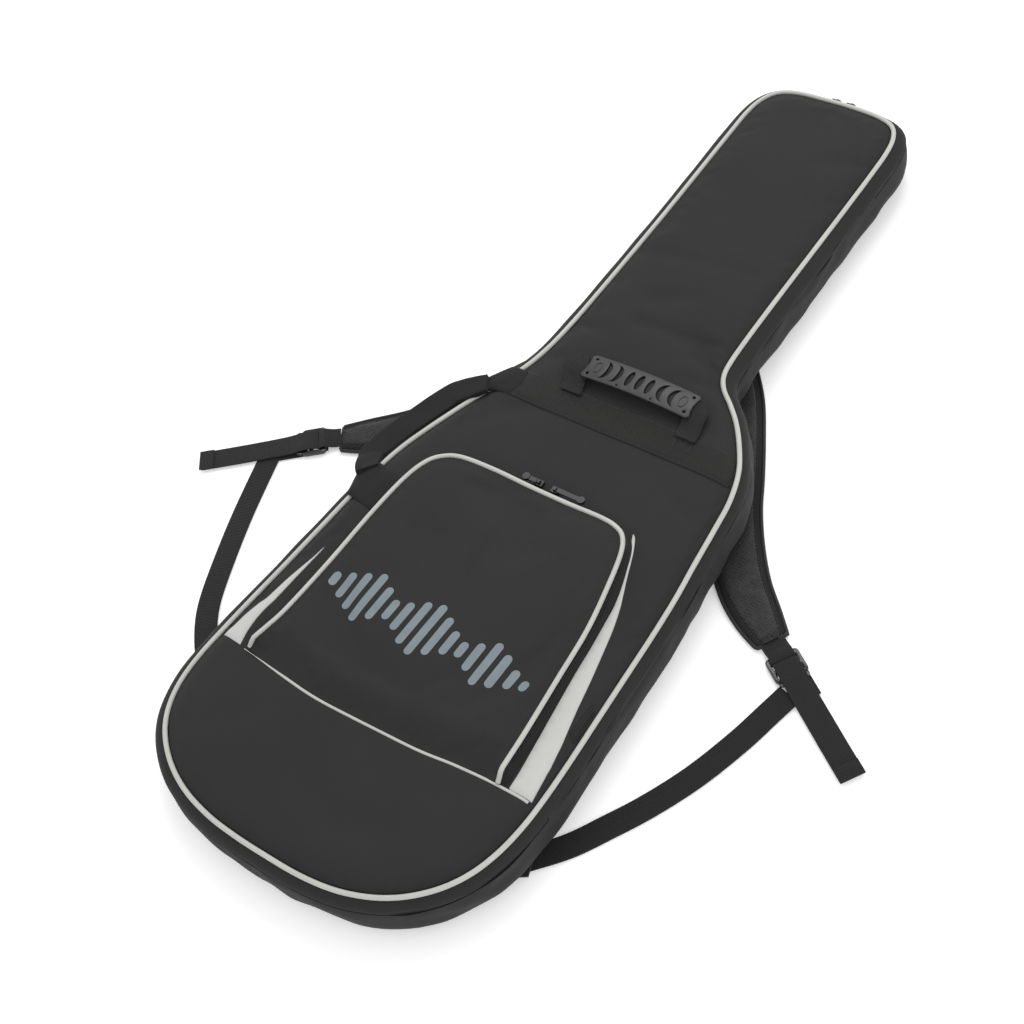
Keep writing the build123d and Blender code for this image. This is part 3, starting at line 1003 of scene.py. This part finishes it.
def inner_parts():
    """Linings seen when the bag is open."""
    inner = ring - ring_normal * 2.0
    rows = [(0.0, 47.0), (-2.5, 45.5), (-3.0, 30), (-4.5, 23), (-9, 21.2)]
    trough = wall("lining_trough", inner, rows, lining_cloth, True, 1.0)
    bed = inner - ring_normal * 9
    flat, faces = filled(bed, 14.0)
    floor = make("lining_floor", [(x, y, 21.2 + wander(x, y, 3, 60, 0.8)) for x, y in flat], faces,
                 lining_cloth)
    join([trough, floor])
    place(trough, "back", "lining_black", ["back_lining"])
    trough.data.flip_normals()
    lid_inner = ring - ring_normal * 3.4
    lid_inner = respaced(lid_inner[spine_side(lid_inner, 2.0)], RING_STEP, True)
    flat, faces = filled(lid_inner, 12.0)
    points = [(x, y, 51.9 + wander(x, y, 9, 70, 0.6)) for x, y in flat]
    sheet = make("lid_lining_sheet", points, [f[::-1] for f in faces], lining_cloth)
    place(sheet, "lid", "lining_black", ["lid_lining"])


inner_parts()


# ---------------------------------------------------------------- front trims

seam_curve = curve(SEAM, False, 14)


def seam_y(x):
    """Height up the bag of the seam above the tail panel."""
    return float(np.interp(x, seam_curve[:, 0], seam_curve[:, 1]))


def lower_cover():
    """The smooth panel over the tail, below its curved seam."""
    inner = ring - ring_normal * 3.4
    part = [p for p in inner if p[1] < seam_y(p[0])]
    part = sorted(part, key=lambda p: math.atan2(p[1] - 160, p[0]))
    top = [(x, seam_y(x)) for x in np.arange(186, -184, -6.0)]
    outer = [tuple(p) for p in part]
    outer += [p for p in top if part[0][0] + 3 < p[0] < part[-1][0] - 3]
    piece = patch("lower_cover", outer, front, 0.9, shell_cloth, 9.0, 1.2, crown=0.5)
    declare_sheet(piece)
    place(piece, "lid", "woven_black", ["lower_panel"])


lower_cover()


def over_front(points, lift):
    """Give a level line the height of the front panel."""
    return [(x, y, front.height(x, y) + lift) for x, y in points]


def seam_cord():
    """Thin piping along the tail seam, fading out at the left."""
    line = [(x, seam_y(x)) for x in np.arange(-150, 190, 3.0)]
    radii = [1.5 * min(1, max(0.25, (x + 150) / 60)) for x, _ in line]
    piece = tube("seam_cord", over_front(line, 0.6), radii, piping_cloth)
    place(piece, "lid", "piping_grey", ["seam_piping"])


seam_cord()


def band():
    """The ribbed band across the waist and its two rows of stitching."""
    outer = [(x, 528.0) for x in np.arange(-120, 168, 8.0)] + [(167, 530), (163, 545), (156, 562)]
    outer += [(x, 564.0) for x in np.arange(150, -104, -8.0)] + [(-107, 563), (-113, 551), (-121, 533)]
    piece = patch("band", outer, front, 1.3, band_cloth, 6.0, 1.0)
    declare_sheet(piece)
    place(piece, "spine", "ribbed_black", ["reinforcement_band"])
    surface = Surface(piece)
    lines = []
    for y in (530.5, 561.5):
        lines.append([(x, y, surface.height(x, y) + 0.15) for x in np.arange(-116, 160, 3.0)])
    place(dashes("band_stitching", lines, thread_material), "spine", "ribbed_black")
    return surface


band_surface = band()


# ---------------------------------------------------------------- pocket

pocket_rim = POCKET_RIGHT[::-1] + POCKET_TOP[::-1] + POCKET_LEFT[::-1]


def pocket_rise(x, y):
    """Share of the pocket's height reached above its bottom seam."""
    share = min(1, max(0, (y - seam_y(x) - 1) / 42))
    return share ** 1.4 * (3 - 2 * share) if share < 1 else 1.0


def pocket_line():
    """Pocket piping: up from the seam at the right, round the top, down at the left."""
    line = respaced(curve(pocket_rim, False, 12), 4.0)
    result = []
    for x, y in line:
        foot = front.height(x, y) + 1.6
        result.append((x, y, foot + (POCKET_TOP_Z - foot) * ease((y - seam_y(x)) / 13)))
    return np.array(result)


rim_line = pocket_line()


def pocket_cover():
    """The crowned pocket panel, from its seam up to its piping."""
    bottom = [(x, seam_y(x) + 0.5) for x in np.arange(-140, 153, 5.0)]
    outer = np.array(bottom + [(x, y) for x, y, _ in rim_line])
    flat, faces = filled(outer, 8.0, (3.0, 7.0))
    points = []
    for x, y in flat:
        near = np.hypot(rim_line[:, 0] - x, rim_line[:, 1] - y)
        order = np.argsort(near)[:3]
        weight = 1 / (near[order] + 0.5)
        rim_z = (rim_line[order, 2] * weight).sum() / weight.sum()
        d = near[order[0]]
        foot = front.height(x, y) + 0.9
        full = POCKET_TOP_Z - 0.5 + 2.2 * swell(d, 14)
        high = foot + (full - foot) * pocket_rise(x, y)
        mix = min(1, d / 12)
        soft = min(1, d / 25) * min(1, max(0, (y - 160) / 40))
        points.append((x, y, rim_z * (1 - mix) + high * mix + soft * wander(x, y, 5, 90, 1.2)))
    points += [(x, y, z - 1.3) for x, y, z in points]
    piece = make("pocket_cover", points, thick_faces(faces, len(flat)), shell_cloth)
    puffed(piece, lambda drawing: rim_pins(drawing, outer), 0.9, 2.0, voxel=0, growth=0.02)
    return place(piece, "pocket_flap", "woven_black", ["pocket_panel"])


pocket_piece = pocket_cover()
pocket_top = Surface(pocket_piece)
rim_cord = tube("pocket_rim", rim_line, 2.4, piping_cloth)
place(rim_cord, "pocket_flap", "piping_grey", ["pocket_piping"])


def pocket_wall():
    """Sloping zip wall between the pocket's piping and the front panel."""
    loop = rim_line[:, :2]
    foot = np.array([front.height(x, y) + 0.3 for x, y in loop])
    high = rim_line[:, 2] - 2.0
    rise = np.clip((loop[:, 1] - 150) / 12, 0.3, 1)
    profile = [(out * rise, high + (foot - high) * share) for share, out in
               ((0.0, 0.3), (0.2, 1.8), (0.32, 2.4), (0.5, 3.6), (0.8, 6.2), (1.0, 8.2))]
    piece = wall("pocket_wall", loop, profile, tape_cloth, False, 0.3, 15)
    place(piece, "lid", "zip_tape", ["pocket_gusset"])
    line = loop + outwards(loop, False) * (2.5 * rise)[:, None]
    path = np.column_stack([line, high + (foot - high) * 0.3])
    path = respaced(path[6:-6], 2.1)
    along = tangents(path)
    items = []
    for i in range(len(path)):
        side = np.array([along[i][1], -along[i][0], 0.0])
        items.append((path[i] + side * 0.3, along[i], side, np.cross(side, along[i]) * -1,
                      (1.1, 1.5, 3.2)))
    place(boxes("pocket_coil", items, coil_material), "lid", "zip_tape")


pocket_wall()


def pale_panels():
    """Light wedges beside the pocket, and the small ribbed tab on the right edge."""
    right_outer = [(191, 160), (188, 190), (184, 218), (177, 252), (171.5, 283), (165, 313),
                   (158, 342), (149, 369), (139, 394), (129, 420), (121, 436)]
    right_inner = [(116, 440), (121, 428), (131.5, 407), (143, 371), (150, 325), (154, 286),
                   (158, 250), (161, 221), (166, 180), (167, 159)]
    left_outer = [(-154.5, 286), (-157.5, 268), (-161, 254), (-168, 224), (-176, 188), (-182.5, 157)]
    left_inner = [(-157, 155), (-161, 174), (-162, 195), (-159, 223), (-156, 256), (-154, 280)]
    for side, edges in (("right", (right_outer, right_inner)), ("left", (left_inner, left_outer))):
        rim = []
        for edge in edges:
            rim.extend(tuple(p) for p in respaced(curve(edge, False, 6), 3.5))
        rim = counter_clockwise(respaced(rim, 3.2, True))
        piece = patch("pale_" + side, rim, front, 1.0, pale_cloth, 6.0, 0.6)
        declare_sheet(piece)
        place(piece, "lid", "pale_grey", ["pale_panel_" + side])
    tab = [(184, 269), (183, 232), (192, 225), (190.5, 262)]
    small = patch("side_label_tab", respaced(np.array(tab[::-1]), 3.0, True), front, 1.6, band_cloth,
                  4.0, 0.6)
    declare_sheet(small)
    place(small, "spine", "ribbed_black")


pale_panels()


def print_motif():
    """A plain row of level bars in place of any print."""
    u = Vector((251, -10)).normalized()
    v = Vector((-u.y, u.x))
    heights = [16, 30, 44, 58, 40, 24, 34, 52, 62, 46, 28, 18, 32, 50, 38, 22, 12]
    points, faces = [], []
    count = len(heights)
    for k, height in enumerate(heights):
        along = -118 + 251 * (k + 0.5) / count
        base = Vector((7.5, 251)) + u * (along - 7.5)
        half_w, half_h = 4.4, height / 2
        outline = []
        for step in range(24):
            angle = 2 * math.pi * step / 24
            x = math.cos(angle) * half_w
            y = math.sin(angle) * half_w + math.copysign(half_h - half_w, math.sin(angle))
            outline.append(base + u * x + v * y)
        outer = respaced(np.array([tuple(p) for p in outline]), 2.0, True)
        flat, tris = filled(outer, 2.5)
        start = len(points)
        points += [(x, y, pocket_top.height(x, y, 80) + 0.12) for x, y in flat]
        faces += [tuple(start + i for i in f) for f in tris]
    piece = make("print_motif", points, faces, print_ink)
    place(piece, "pocket", "pale_grey")


print_motif()


# ---------------------------------------------------------------- handles

def ellipse(cx, cy, a, b, count=20):
    """Points of an ellipse with half-axes a and b."""
    turns = [2 * math.pi * k / count for k in range(count)]
    return [(cx + a * math.cos(turn), cy + b * math.sin(turn)) for turn in turns]


def crescent(cx, cy, width, height, bend):
    """A crescent with its belly towards bend's sign."""
    outer = [(cx + bend * (math.cos(t) - 0.6) * width, cy + math.sin(t) * height)
             for t in np.linspace(-math.pi / 2, math.pi / 2, 13)]
    inner = [(cx + bend * (math.cos(t) * 0.42 - 0.6) * width, cy + math.sin(t) * height)
             for t in np.linspace(math.pi / 2, -math.pi / 2, 13)][1:-1]
    points = outer + inner
    return points if bend > 0 else points[::-1]


GRIP_CENTRE = 28.5
GRIP_HALF = 66.5
GRIP_MIDDLE = 589.5


def arch(x):
    """Underside height of the carrying grip along its length."""
    t = (x - GRIP_CENTRE) / GRIP_HALF
    return 77.6 + 4.4 * max(0.0, 1 - t * t)


def grip_layer(base):
    """Shape of a domed layer of the grip whose underside is a height above the arch."""
    def shape(x, y, side, thickness):
        dome = 1.6 * (1 - ((y - GRIP_MIDDLE) / 15) ** 2)
        return x, y, arch(x) + dome + base + thickness * side

    return shape


def boss_shape(x, y, side, thickness):
    """Shape of a ring that stands on the grip's top."""
    return x, y, arch(x) + 2.2 + thickness * side


def grip():
    """The moulded carrying grip: an arched plate with cut-outs over a channel painted near-black as
    shade.
    """
    centre, half, middle = GRIP_CENTRE, GRIP_HALF, GRIP_MIDDLE
    outer = [(x, 574.6) for x in np.linspace(centre - half + 4, centre + half - 4, 26)]
    outer += [(centre + half - 1, 577.5), (centre + half - 2.6, 583)]
    outer += [(centre + half - 3.2, middle), (centre + half - 2.6, 596)]
    outer += [(centre + half - 1, 601.5)]
    outer += [(x, 604.4) for x in np.linspace(centre + half - 4, centre - half + 4, 26)]
    outer += [(centre - half + 1, 601.5), (centre - half + 2.6, 596)]
    outer += [(centre - half + 3.2, middle), (centre - half + 2.6, 583), (centre - half + 1, 577.5)]
    holes = []
    for s in (-1, 1):
        for k in (0, 1):
            holes.append(crescent(centre + s * (25.5 + 13.5 * k), middle, 9.4, 11.2, -s))
        for t in (-1, 1):
            holes.append(ellipse(centre + s * 58.5, middle + t * 9.8, 1.7, 1.7, 12))
        holes.append(ellipse(centre + s * 20.5, middle - 12.2, 1.0, 1.0, 10))
    holes += [ellipse(centre + s * 12.0, middle, 3.3, 9.8) for s in (-1, 0, 1)]

    top = plate("grip_top", outer, holes, 2.2, grip_rubber, grip_layer(0.0), 0.4, 3.0)
    place(top, "front_handle", "rubber_grip", ["handle_grip"])
    # The plate under the cut-outs is painted near-black, as painted shade in the grip's recess.
    inner = [(x, 576.0) for x in np.linspace(centre - half + 6, centre + half - 6, 20)]
    inner += [(x, 603.0) for x in np.linspace(centre + half - 6, centre - half + 6, 20)]
    base = plate("grip_shade_core", inner, [], 1.5, recess_shade_rubber, grip_layer(-1.8), 0.0, 4.0)
    place(base, "front_handle", "rubber_grip")
    for s in (-1, 1):
        boss_outer = ellipse(centre + s * 51.5, middle, 4.4, 7.2, 26)
        boss_hole = ellipse(centre + s * 51.5, middle, 3.3, 6.0, 22)
        boss = plate("grip_boss_" + ("left" if s < 0 else "right"), boss_outer, [boss_hole], 2.1,
                     grip_rubber, boss_shape, 0.25, 2.0)
        place(boss, "front_handle", "rubber_grip")


grip()


def folded(x, y, side, thickness):
    """Shape of a webbing end that climbs from the band to the grip."""
    rise = ease((y - 562) / 26)
    base = band_top.height(x, y) + 0.3
    return x, y, base * (1 - rise) + 76.4 * rise + thickness * side


def handle_loops():
    """Webbing that runs inside the grip, folds at each end and is sewn to the band."""
    core = [(x, GRIP_MIDDLE, arch(x) - 1.3) for x in np.arange(-52, 104, 4.0)]
    carrier = ribbon("handle_carrier", core, 24.0, 1.4, webbing_cloth)
    place(carrier, "front_handle", "ribbed_black")
    shapes = (("left", [(-50, 557), (-26, 558), (-35, 588), (-41, 600), (-53, 602), (-63, 587)]),
              ("right", [(90, 556), (113, 556), (109, 584), (109, 590), (93, 608), (84, 593)]))
    for name, outline in shapes:
        rim = respaced(outline, 2.5, True)
        tab = plate("handle_strap_" + name, rim, [], 3.0, webbing_cloth, folded, 0.7, 4.0)
        place(tab, "handle_foot", "ribbed_black", ["handle_loop_" + name])
        middle = outline[0][0] * 0.5 + outline[1][0] * 0.5
        lines = []
        corners = [(middle - 9, 546), (middle + 9, 546), (middle + 9, 556), (middle - 9, 556)]
        for run in (corners + corners[:1], corners[::2], corners[1::2]):
            lines.append([(x, y, band_top.height(x, y) + 0.15) for x, y in respaced(run, 1.5)])
        place(dashes("handle_stitching_" + name, lines, thread_material, 2.6, 1.8), "lid",
              "ribbed_black")


class Both:
    """The higher of two surfaces."""

    def __init__(self, *surfaces):
        self.surfaces = surfaces

    def height(self, x, y, missing=MISSING_HEIGHT):
        return max(s.height(x, y, missing) for s in self.surfaces)


band_top = Both(band_surface, front)
handle_loops()


def left_edge(y, distance):
    """A point beside the left seam line, a distance outwards."""
    left = np.where((ring[:, 0] < -60) & (ring[:, 1] > 150))[0]
    index = left[np.argmin(np.abs(ring[left, 1] - y))]
    return ring[index] + ring_normal[index] * distance


def ring_distance(points):
    """Signed distance past the seam line, positive outside."""
    distance = edge_distance(points, ring)
    return np.where(inside_loop(points, ring), -distance, distance)


def side_tab(name, outer):
    """A patch that carries one end of the side handle and laps over the wall's edge."""
    rim = respaced(counter_clockwise(np.array([tuple(p) for p in outer], float)), 3.0, True)
    flat, faces = filled(rim, 5.0, (1.2,))
    distance = edge_distance(flat, rim)
    points = []
    for (x, y), d, past in zip(flat, distance, ring_distance(flat)):
        roof = 66.6 - 0.030 * max(0.0, past + 3) ** 2
        base = max(front.height(x, y), roof) + 0.5
        points.append((x, y, base + 1.2 * min(1, d / 1.2) + 0.8 * swell(d, 9)))
    points += [(x, y, z - 2.2) for x, y, z in points]
    piece = make("side_tab_" + name, points, thick_faces(faces, len(flat)), pad_cloth)
    place(piece, "lid", "woven_black", ["side_patch_" + name])


def side_handle():
    """Padded sleeve beside the left wall and the two patches that carry it."""
    rows = [(528, 2, 68.5, 22), (518, 8, 66.5, 25), (508, 16, 63, 28), (496, 21, 60, 29),
            (470, 22, 58, 29), (445, 22.5, 57.5, 29), (420, 22.5, 57.5, 29), (404, 21.5, 58.5, 28),
            (396, 17, 61.5, 27), (389, 10, 65.5, 26), (384, 4, 67.5, 25)]
    line = [(*left_edge(y, out), z, width) for y, out, z, width in rows]
    line = respaced(curve(line, False, 10), 3.0)
    sleeve = ribbon("side_sleeve", line[:, :3], line[:, 3], 7.0, pad_cloth)
    for vertex in sleeve.data.vertices:
        vertex.co.z += wander(vertex.co.x * 1000, vertex.co.y * 1000, 0, 22, 0.0009)
    subdivide = sleeve.modifiers.new("subdivide", "SUBSURF")
    subdivide.levels = 1
    baked(sleeve)
    place(sleeve, "side_handle", "woven_black", ["side_grip"])
    upper = [(-96, 529), (-92, 546), (-96, 563), (-118, 563), left_edge(550, 10), left_edge(536, 13),
             left_edge(520, 10), (-126, 522), (-118, 527)]
    lower = [(-119, 384), (-125, 345), (-140, 343), (-166, 348), (-178, 350), left_edge(372, 12),
             left_edge(386, 16), left_edge(398, 12), (-149, 392)]
    side_tab("upper", upper)
    side_tab("lower", lower)


side_handle()


# ---------------------------------------------------------------- shoulder straps

RIGHT_PAD = [(42, 738), (42, 722), (60, 700), (88, 662), (113, 620), (137, 578), (158, 540),
             (184, 503), (213, 470), (243, 446), (276.5, 424)]
LEFT_PAD = [(-42, 738), (-42, 722), (-60, 700), (-88, 662), (-113, 620), (-137, 578), (-160, 540),
            (-188, 503), (-217, 474), (-249, 450), (-283.5, 428)]
PAD_WIDTHS = [44, 46, 50, 56, 58, 58, 57, 55, 52, 46, 31]


def pad_outline(path, shrink):
    """Edge of a strap pad, counter-clockwise for either hand."""
    line = curve([(*p, w) for p, w in zip(path, PAD_WIDTHS)], False, 8)
    side = outwards(line, False)
    half = (line[:, 2] / 2 - shrink)[:, None]
    right, left = line[:, :2] + side * half, line[:, :2] - side * half
    if shrink:
        right, left = right[2:-2], left[2:-2]
    return counter_clockwise(np.vstack([right, left[::-1]]))


def strap_pad(name, path):
    """A shoulder pad with its binding, stitching and mesh inlay."""
    outer = respaced(pad_outline(path, 1.2), 4.0, True)
    flat, faces = filled(outer, 6.0, (2.5, 6.0))
    distance = edge_distance(flat, outer)
    top = [(x, y, 4.4 + 3.0 * swell(d, 5.0)) for (x, y), d in zip(flat, distance)]
    low = [(x, y, 2.2 - 1.7 * swell(d, 4.0)) for (x, y), d in zip(flat, distance)]
    piece = make("pad_" + name, top + low, thick_faces(faces, len(flat)), pad_cloth)

    def pinned(drawing):
        return np.maximum(rim_pins(drawing, outer, 1.2, 5), np.where(drawing[:, 2] < 2.5, 1, 0))

    puffed(piece, pinned, 2.0, 1.0, voxel=3.0, growth=0.015)
    place(piece, "strap_" + name, "woven_black", ["strap_pad_" + name])
    surface = Surface(piece)
    rim = respaced(pad_outline(path, 8.5), 4.0, True)
    inlay = patch("pad_mesh_" + name, rim, surface, 0.9, mesh_cloth, 5.0, 1.4, missing=7.0)
    declare_sheet(inlay)
    place(inlay, "strap_" + name, "mesh_black", ["strap_mesh_" + name])
    edge = respaced(pad_outline(path, 1.0), 4.0, True)
    bead = tube("pad_binding_" + name, [(x, y, 3.3) for x, y in edge], 1.9, binding_cloth, True, 10)
    place(bead, "strap_" + name, "woven_black")
    line = respaced(pad_outline(path, 7.0), 2.0, True)
    stitch = [(x, y, surface.height(x, y, 7) + 0.12) for x, y in line]
    place(dashes("pad_stitching_" + name, [stitch], thread_material, 3.4, 2.2, 0.25),
          "strap_" + name, "woven_black")
    return surface


def strap_frame(end, angle):
    """Turns strap coordinates, with X along the strap, into drawing ones."""
    c, s = math.cos(math.radians(angle)), math.sin(math.radians(angle))
    return lambda u, v, z: (end[0] + c * u - s * v, end[1] + s * u + c * v, z)


def rounded(x0, x1, y0, y1, radius, count=5):
    """A rectangle with rounded corners, counter-clockwise."""
    points = []
    for cx, cy, a in ((x1 - radius, y1 - radius, 0), (x0 + radius, y1 - radius, 90),
                      (x0 + radius, y0 + radius, 180), (x1 - radius, y0 + radius, 270)):
        for k in range(count):
            t = math.radians(a + 90 * k / (count - 1))
            points.append((cx + radius * math.cos(t), cy + radius * math.sin(t)))
    return points


def buckle(name, spot):
    """Ladder-lock adjuster: side rails, three bars and a thumb lip."""
    outer = rounded(7.0, 35, -17.0, 17.0, 4.5)
    holes = [rounded(13.2, 21.6, -13.2, 13.2, 1.2, 3), rounded(26.2, 31.4, -13.2, 13.2, 1.2, 3)]

    def shape(u, v, side, thickness):
        arch = 0.9 * math.cos((u - 21) / 14 * math.pi / 2)
        rail = 0.7 * max(0, (abs(v) - 12.5) / 4)
        return spot(u, v, (2.2 - rail * 0.6) + (thickness + arch + rail) * side)

    body = plate("adjuster_" + name, outer, holes, 4.0, buckle_plastic, shape, 0.7, 3.0)
    place(body, "adjuster_" + name, "gloss_black", ["buckle_" + name])
    lip = rounded(33.0, 40.5, -15.5, 15.5, 3.2)
    tab = plate("adjuster_lip_" + name, lip, [], 2.0, buckle_plastic,
                lambda u, v, side, t: spot(u, v, 3.2 + t * side + (u - 33) * 0.18), 0.6, 3.0)
    place(tab, "adjuster_" + name, "gloss_black")


def webbing(name, path, parts, step=3.0, uneven=0.0):
    """A length of the strap's webbing along a curve through a few points."""
    line = respaced(curve(path, False, parts), step)
    return ribbon(name, line, WEBBING_WIDTH, WEBBING_THICK, webbing_cloth, uneven=uneven)


def strap_webbing(name, spot, fold, lower_path, surface):
    """Everything of webbing on one strap, from the pad's tongue to the hemmed tail."""
    lower_body, slot = "lower_strap_" + name, "ribbed_black"
    tongue = [spot(u, 0, z) for u, z in ((-9, 4.6), (-5, 4.8), (0, 5.6), (4, 7.4), (7.5, 8.6),
                                         (11, 8.7), (14.6, 7.0), (15.2, 4.4), (12, 1.4), (6, 1.2))]
    line = respaced(curve(tongue, False, 8), 1.5)
    loop = ribbon("strap_tongue_" + name, line, WEBBING_WIDTH, 1.6, webbing_cloth)
    place(loop, "strap_" + name, slot, ["buckle_loop_" + name])
    lines = []
    for run in ([(-27, -8), (-10, -8), (-10, 8), (-27, 8), (-27, -8), (-10, 8)],
                [(-27, 8), (-10, -8)]):
        level = [spot(u, v, 0)[:2] for u, v in respaced(run, 1.5)]
        lines.append([(x, y, max(7.0, surface.height(x, y, 7.0)) + 0.95) for x, y in level])
    stitches = dashes("tongue_stitching_" + name, lines, thread_material, 2.6, 1.8)
    place(stitches, "strap_" + name, slot)
    start = [spot(u, 2.5, z) for u, z in ((28.5, 4.5), (30.5, 1.9), (36, 1.5), (44, 1.6), (fold, 1.6))]
    line = respaced(curve(start, False, 8), 3.0)
    under = ribbon("webbing_under_" + name, line, 26.0, WEBBING_THICK, webbing_cloth, uneven=0.15)
    hang(under, spot, slot)
    run = [(*lower_path[0], 2.9), *((x, y, 1.5) for x, y in lower_path[1:-1]), (*lower_path[-1], 4.2)]
    place(webbing("lower_webbing_" + name, run, 12, uneven=0.25), lower_body, slot, ["webbing_" + name])
    tail = [spot(u, 0, z) for u, z in ((14, 5.6), (17, 7.7), (22.5, 8.5), (29, 8.6), (35, 8.1),
                                       (44, 6.2), (56, 5.0), (80, 4.2), (110, 3.6), (150, 3.5))]
    hang(webbing("webbing_end_" + name, tail, 12, uneven=0.2), spot, slot,
         ["webbing_tail_" + name])
    hem = [spot(u, 0, z) for u, z in ((136, 5.0), (144, 5.1), (152, 5.0))]
    fold_over = ribbon("webbing_hem_" + name, respaced(hem, 2.0), WEBBING_WIDTH + 0.2, WEBBING_THICK,
                       webbing_cloth)
    place(fold_over, lower_body, slot)
    stitch = [[spot(u, v, 5.95) for v in np.arange(-11.5, 11.6, 1.0)] for u in (138.5, 141.5)]
    place(dashes("hem_stitching_" + name, stitch, thread_material, 2.6, 1.8), lower_body, slot)


def straps():
    """Both straps with their anchors, and the yoke that carries their tops."""
    right_low = [(311, 388), (304, 362), (295, 325), (279, 276), (258, 230), (238, 195), (216, 160),
                 (188, 126)]
    left_low = [(-338, 390), (-331, 362), (-311, 300), (-288, 240), (-268, 196), (-245, 165),
                (-220, 142), (-190, 122)]
    sets = (("right", RIGHT_PAD, (276.5, 424), -33.1, 60, right_low),
            ("left", LEFT_PAD, (-283.5, 428), 217.8, 68, left_low))
    for name, path, end, angle, fold, low in sets:
        surface = strap_pad(name, path)
        spot = strap_frame(end, angle)
        buckle(name, spot)
        strap_webbing(name, spot, fold, low, surface)
        s = 1 if name == "right" else -1
        anchor = [(s * 166, 92), (s * 204, 116), (s * 196, 140), (s * 150, 128)]
        if s < 0:
            anchor = anchor[::-1]
        base = plate("anchor_" + name, anchor, [], 3.0, webbing_cloth,
                     lambda x, y, side, t: (x, y, 6.2 + t * side), 0.6, 6.0)
        place(base, "back", "ribbed_black", ["lower_anchor_" + name])
    yoke = plate("yoke", [(-62, 700), (62, 700), (48, 775), (-48, 775)], [], 0.9, wall_cloth,
                 lambda x, y, side, t: (x, y, 8.75 + t * side), 0.2, 10.0)
    place(yoke, "back", "woven_black", ["strap_yoke"])


straps()

# ---------------------------------------------------------------- carried-over CAD pieces

for node in ("pocket_left_slider", "pocket_right_slider", "pocket_left_pull", "pocket_right_pull",
             "main_low_slider", "main_high_slider", "main_low_pull", "main_high_pull"):
    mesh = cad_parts[node].data
    if not mesh.materials:
        mesh.materials.append(enamel)
    for index in range(len(mesh.materials)):
        mesh.materials[index] = enamel


# ---------------------------------------------------------------- studio

def studio():
    """A white floor and world, with a key and a fill light."""
    floor = bpy.data.objects.new("floor", bpy.data.meshes.new("floor"))
    size = 12.0
    floor.data.from_pydata([(-size, -size, -0.0005), (size, -size, -0.0005), (size, size, -0.0005),
                            (-size, size, -0.0005)], [], [(0, 1, 2, 3)])
    floor.data.materials.append(floor_material())
    bpy.context.scene.collection.objects.link(floor)
    world = bpy.data.worlds.new("studio")
    bpy.context.scene.world = world
    world.use_nodes = True
    world.node_tree.nodes["Background"].inputs["Color"].default_value = (1, 1, 1, 1)
    world.node_tree.nodes["Background"].inputs["Strength"].default_value = 0.82
    for name, spot, size, power, target in (
            ("key", (-0.6, 1.6, 2.2), 1.6, 27, (0, 0.1, 0)),
            ("fill", (1.9, -0.6, 1.9), 1.8, 13, (0, 0.1, 0))):
        light = bpy.data.lights.new(name, "AREA")
        light.energy = power
        light.size = size
        lamp = bpy.data.objects.new(name, light)
        bpy.context.scene.collection.objects.link(lamp)
        lamp.location = spot
        lamp.rotation_euler = (Vector(target) - Vector(spot)).to_track_quat("-Z", "Y").to_euler()


def camera():
    """The photo's view, from the fitted camera."""
    data = bpy.data.cameras.new("camera")
    data.sensor_width = 36.0
    data.lens = 63.28
    data.clip_end = 60
    view = bpy.data.objects.new("camera", data)
    bpy.context.scene.collection.objects.link(view)
    right = Vector((0.79474, 0.56865, -0.21221))
    up = Vector((-0.36638, 0.7282, 0.57922))
    back = right.cross(up)
    view.matrix_world = Matrix((
        (right.x, up.x, back.x, 0.84797),
        (right.y, up.y, back.y, -0.52824),
        (right.z, up.z, back.z, 1.45806),
        (0, 0, 0, 1),
    ))
    bpy.context.scene.camera = view


studio()
camera()
bpy.context.scene.view_settings.view_transform = "Standard"
bpy.context.scene.view_settings.look = "None"
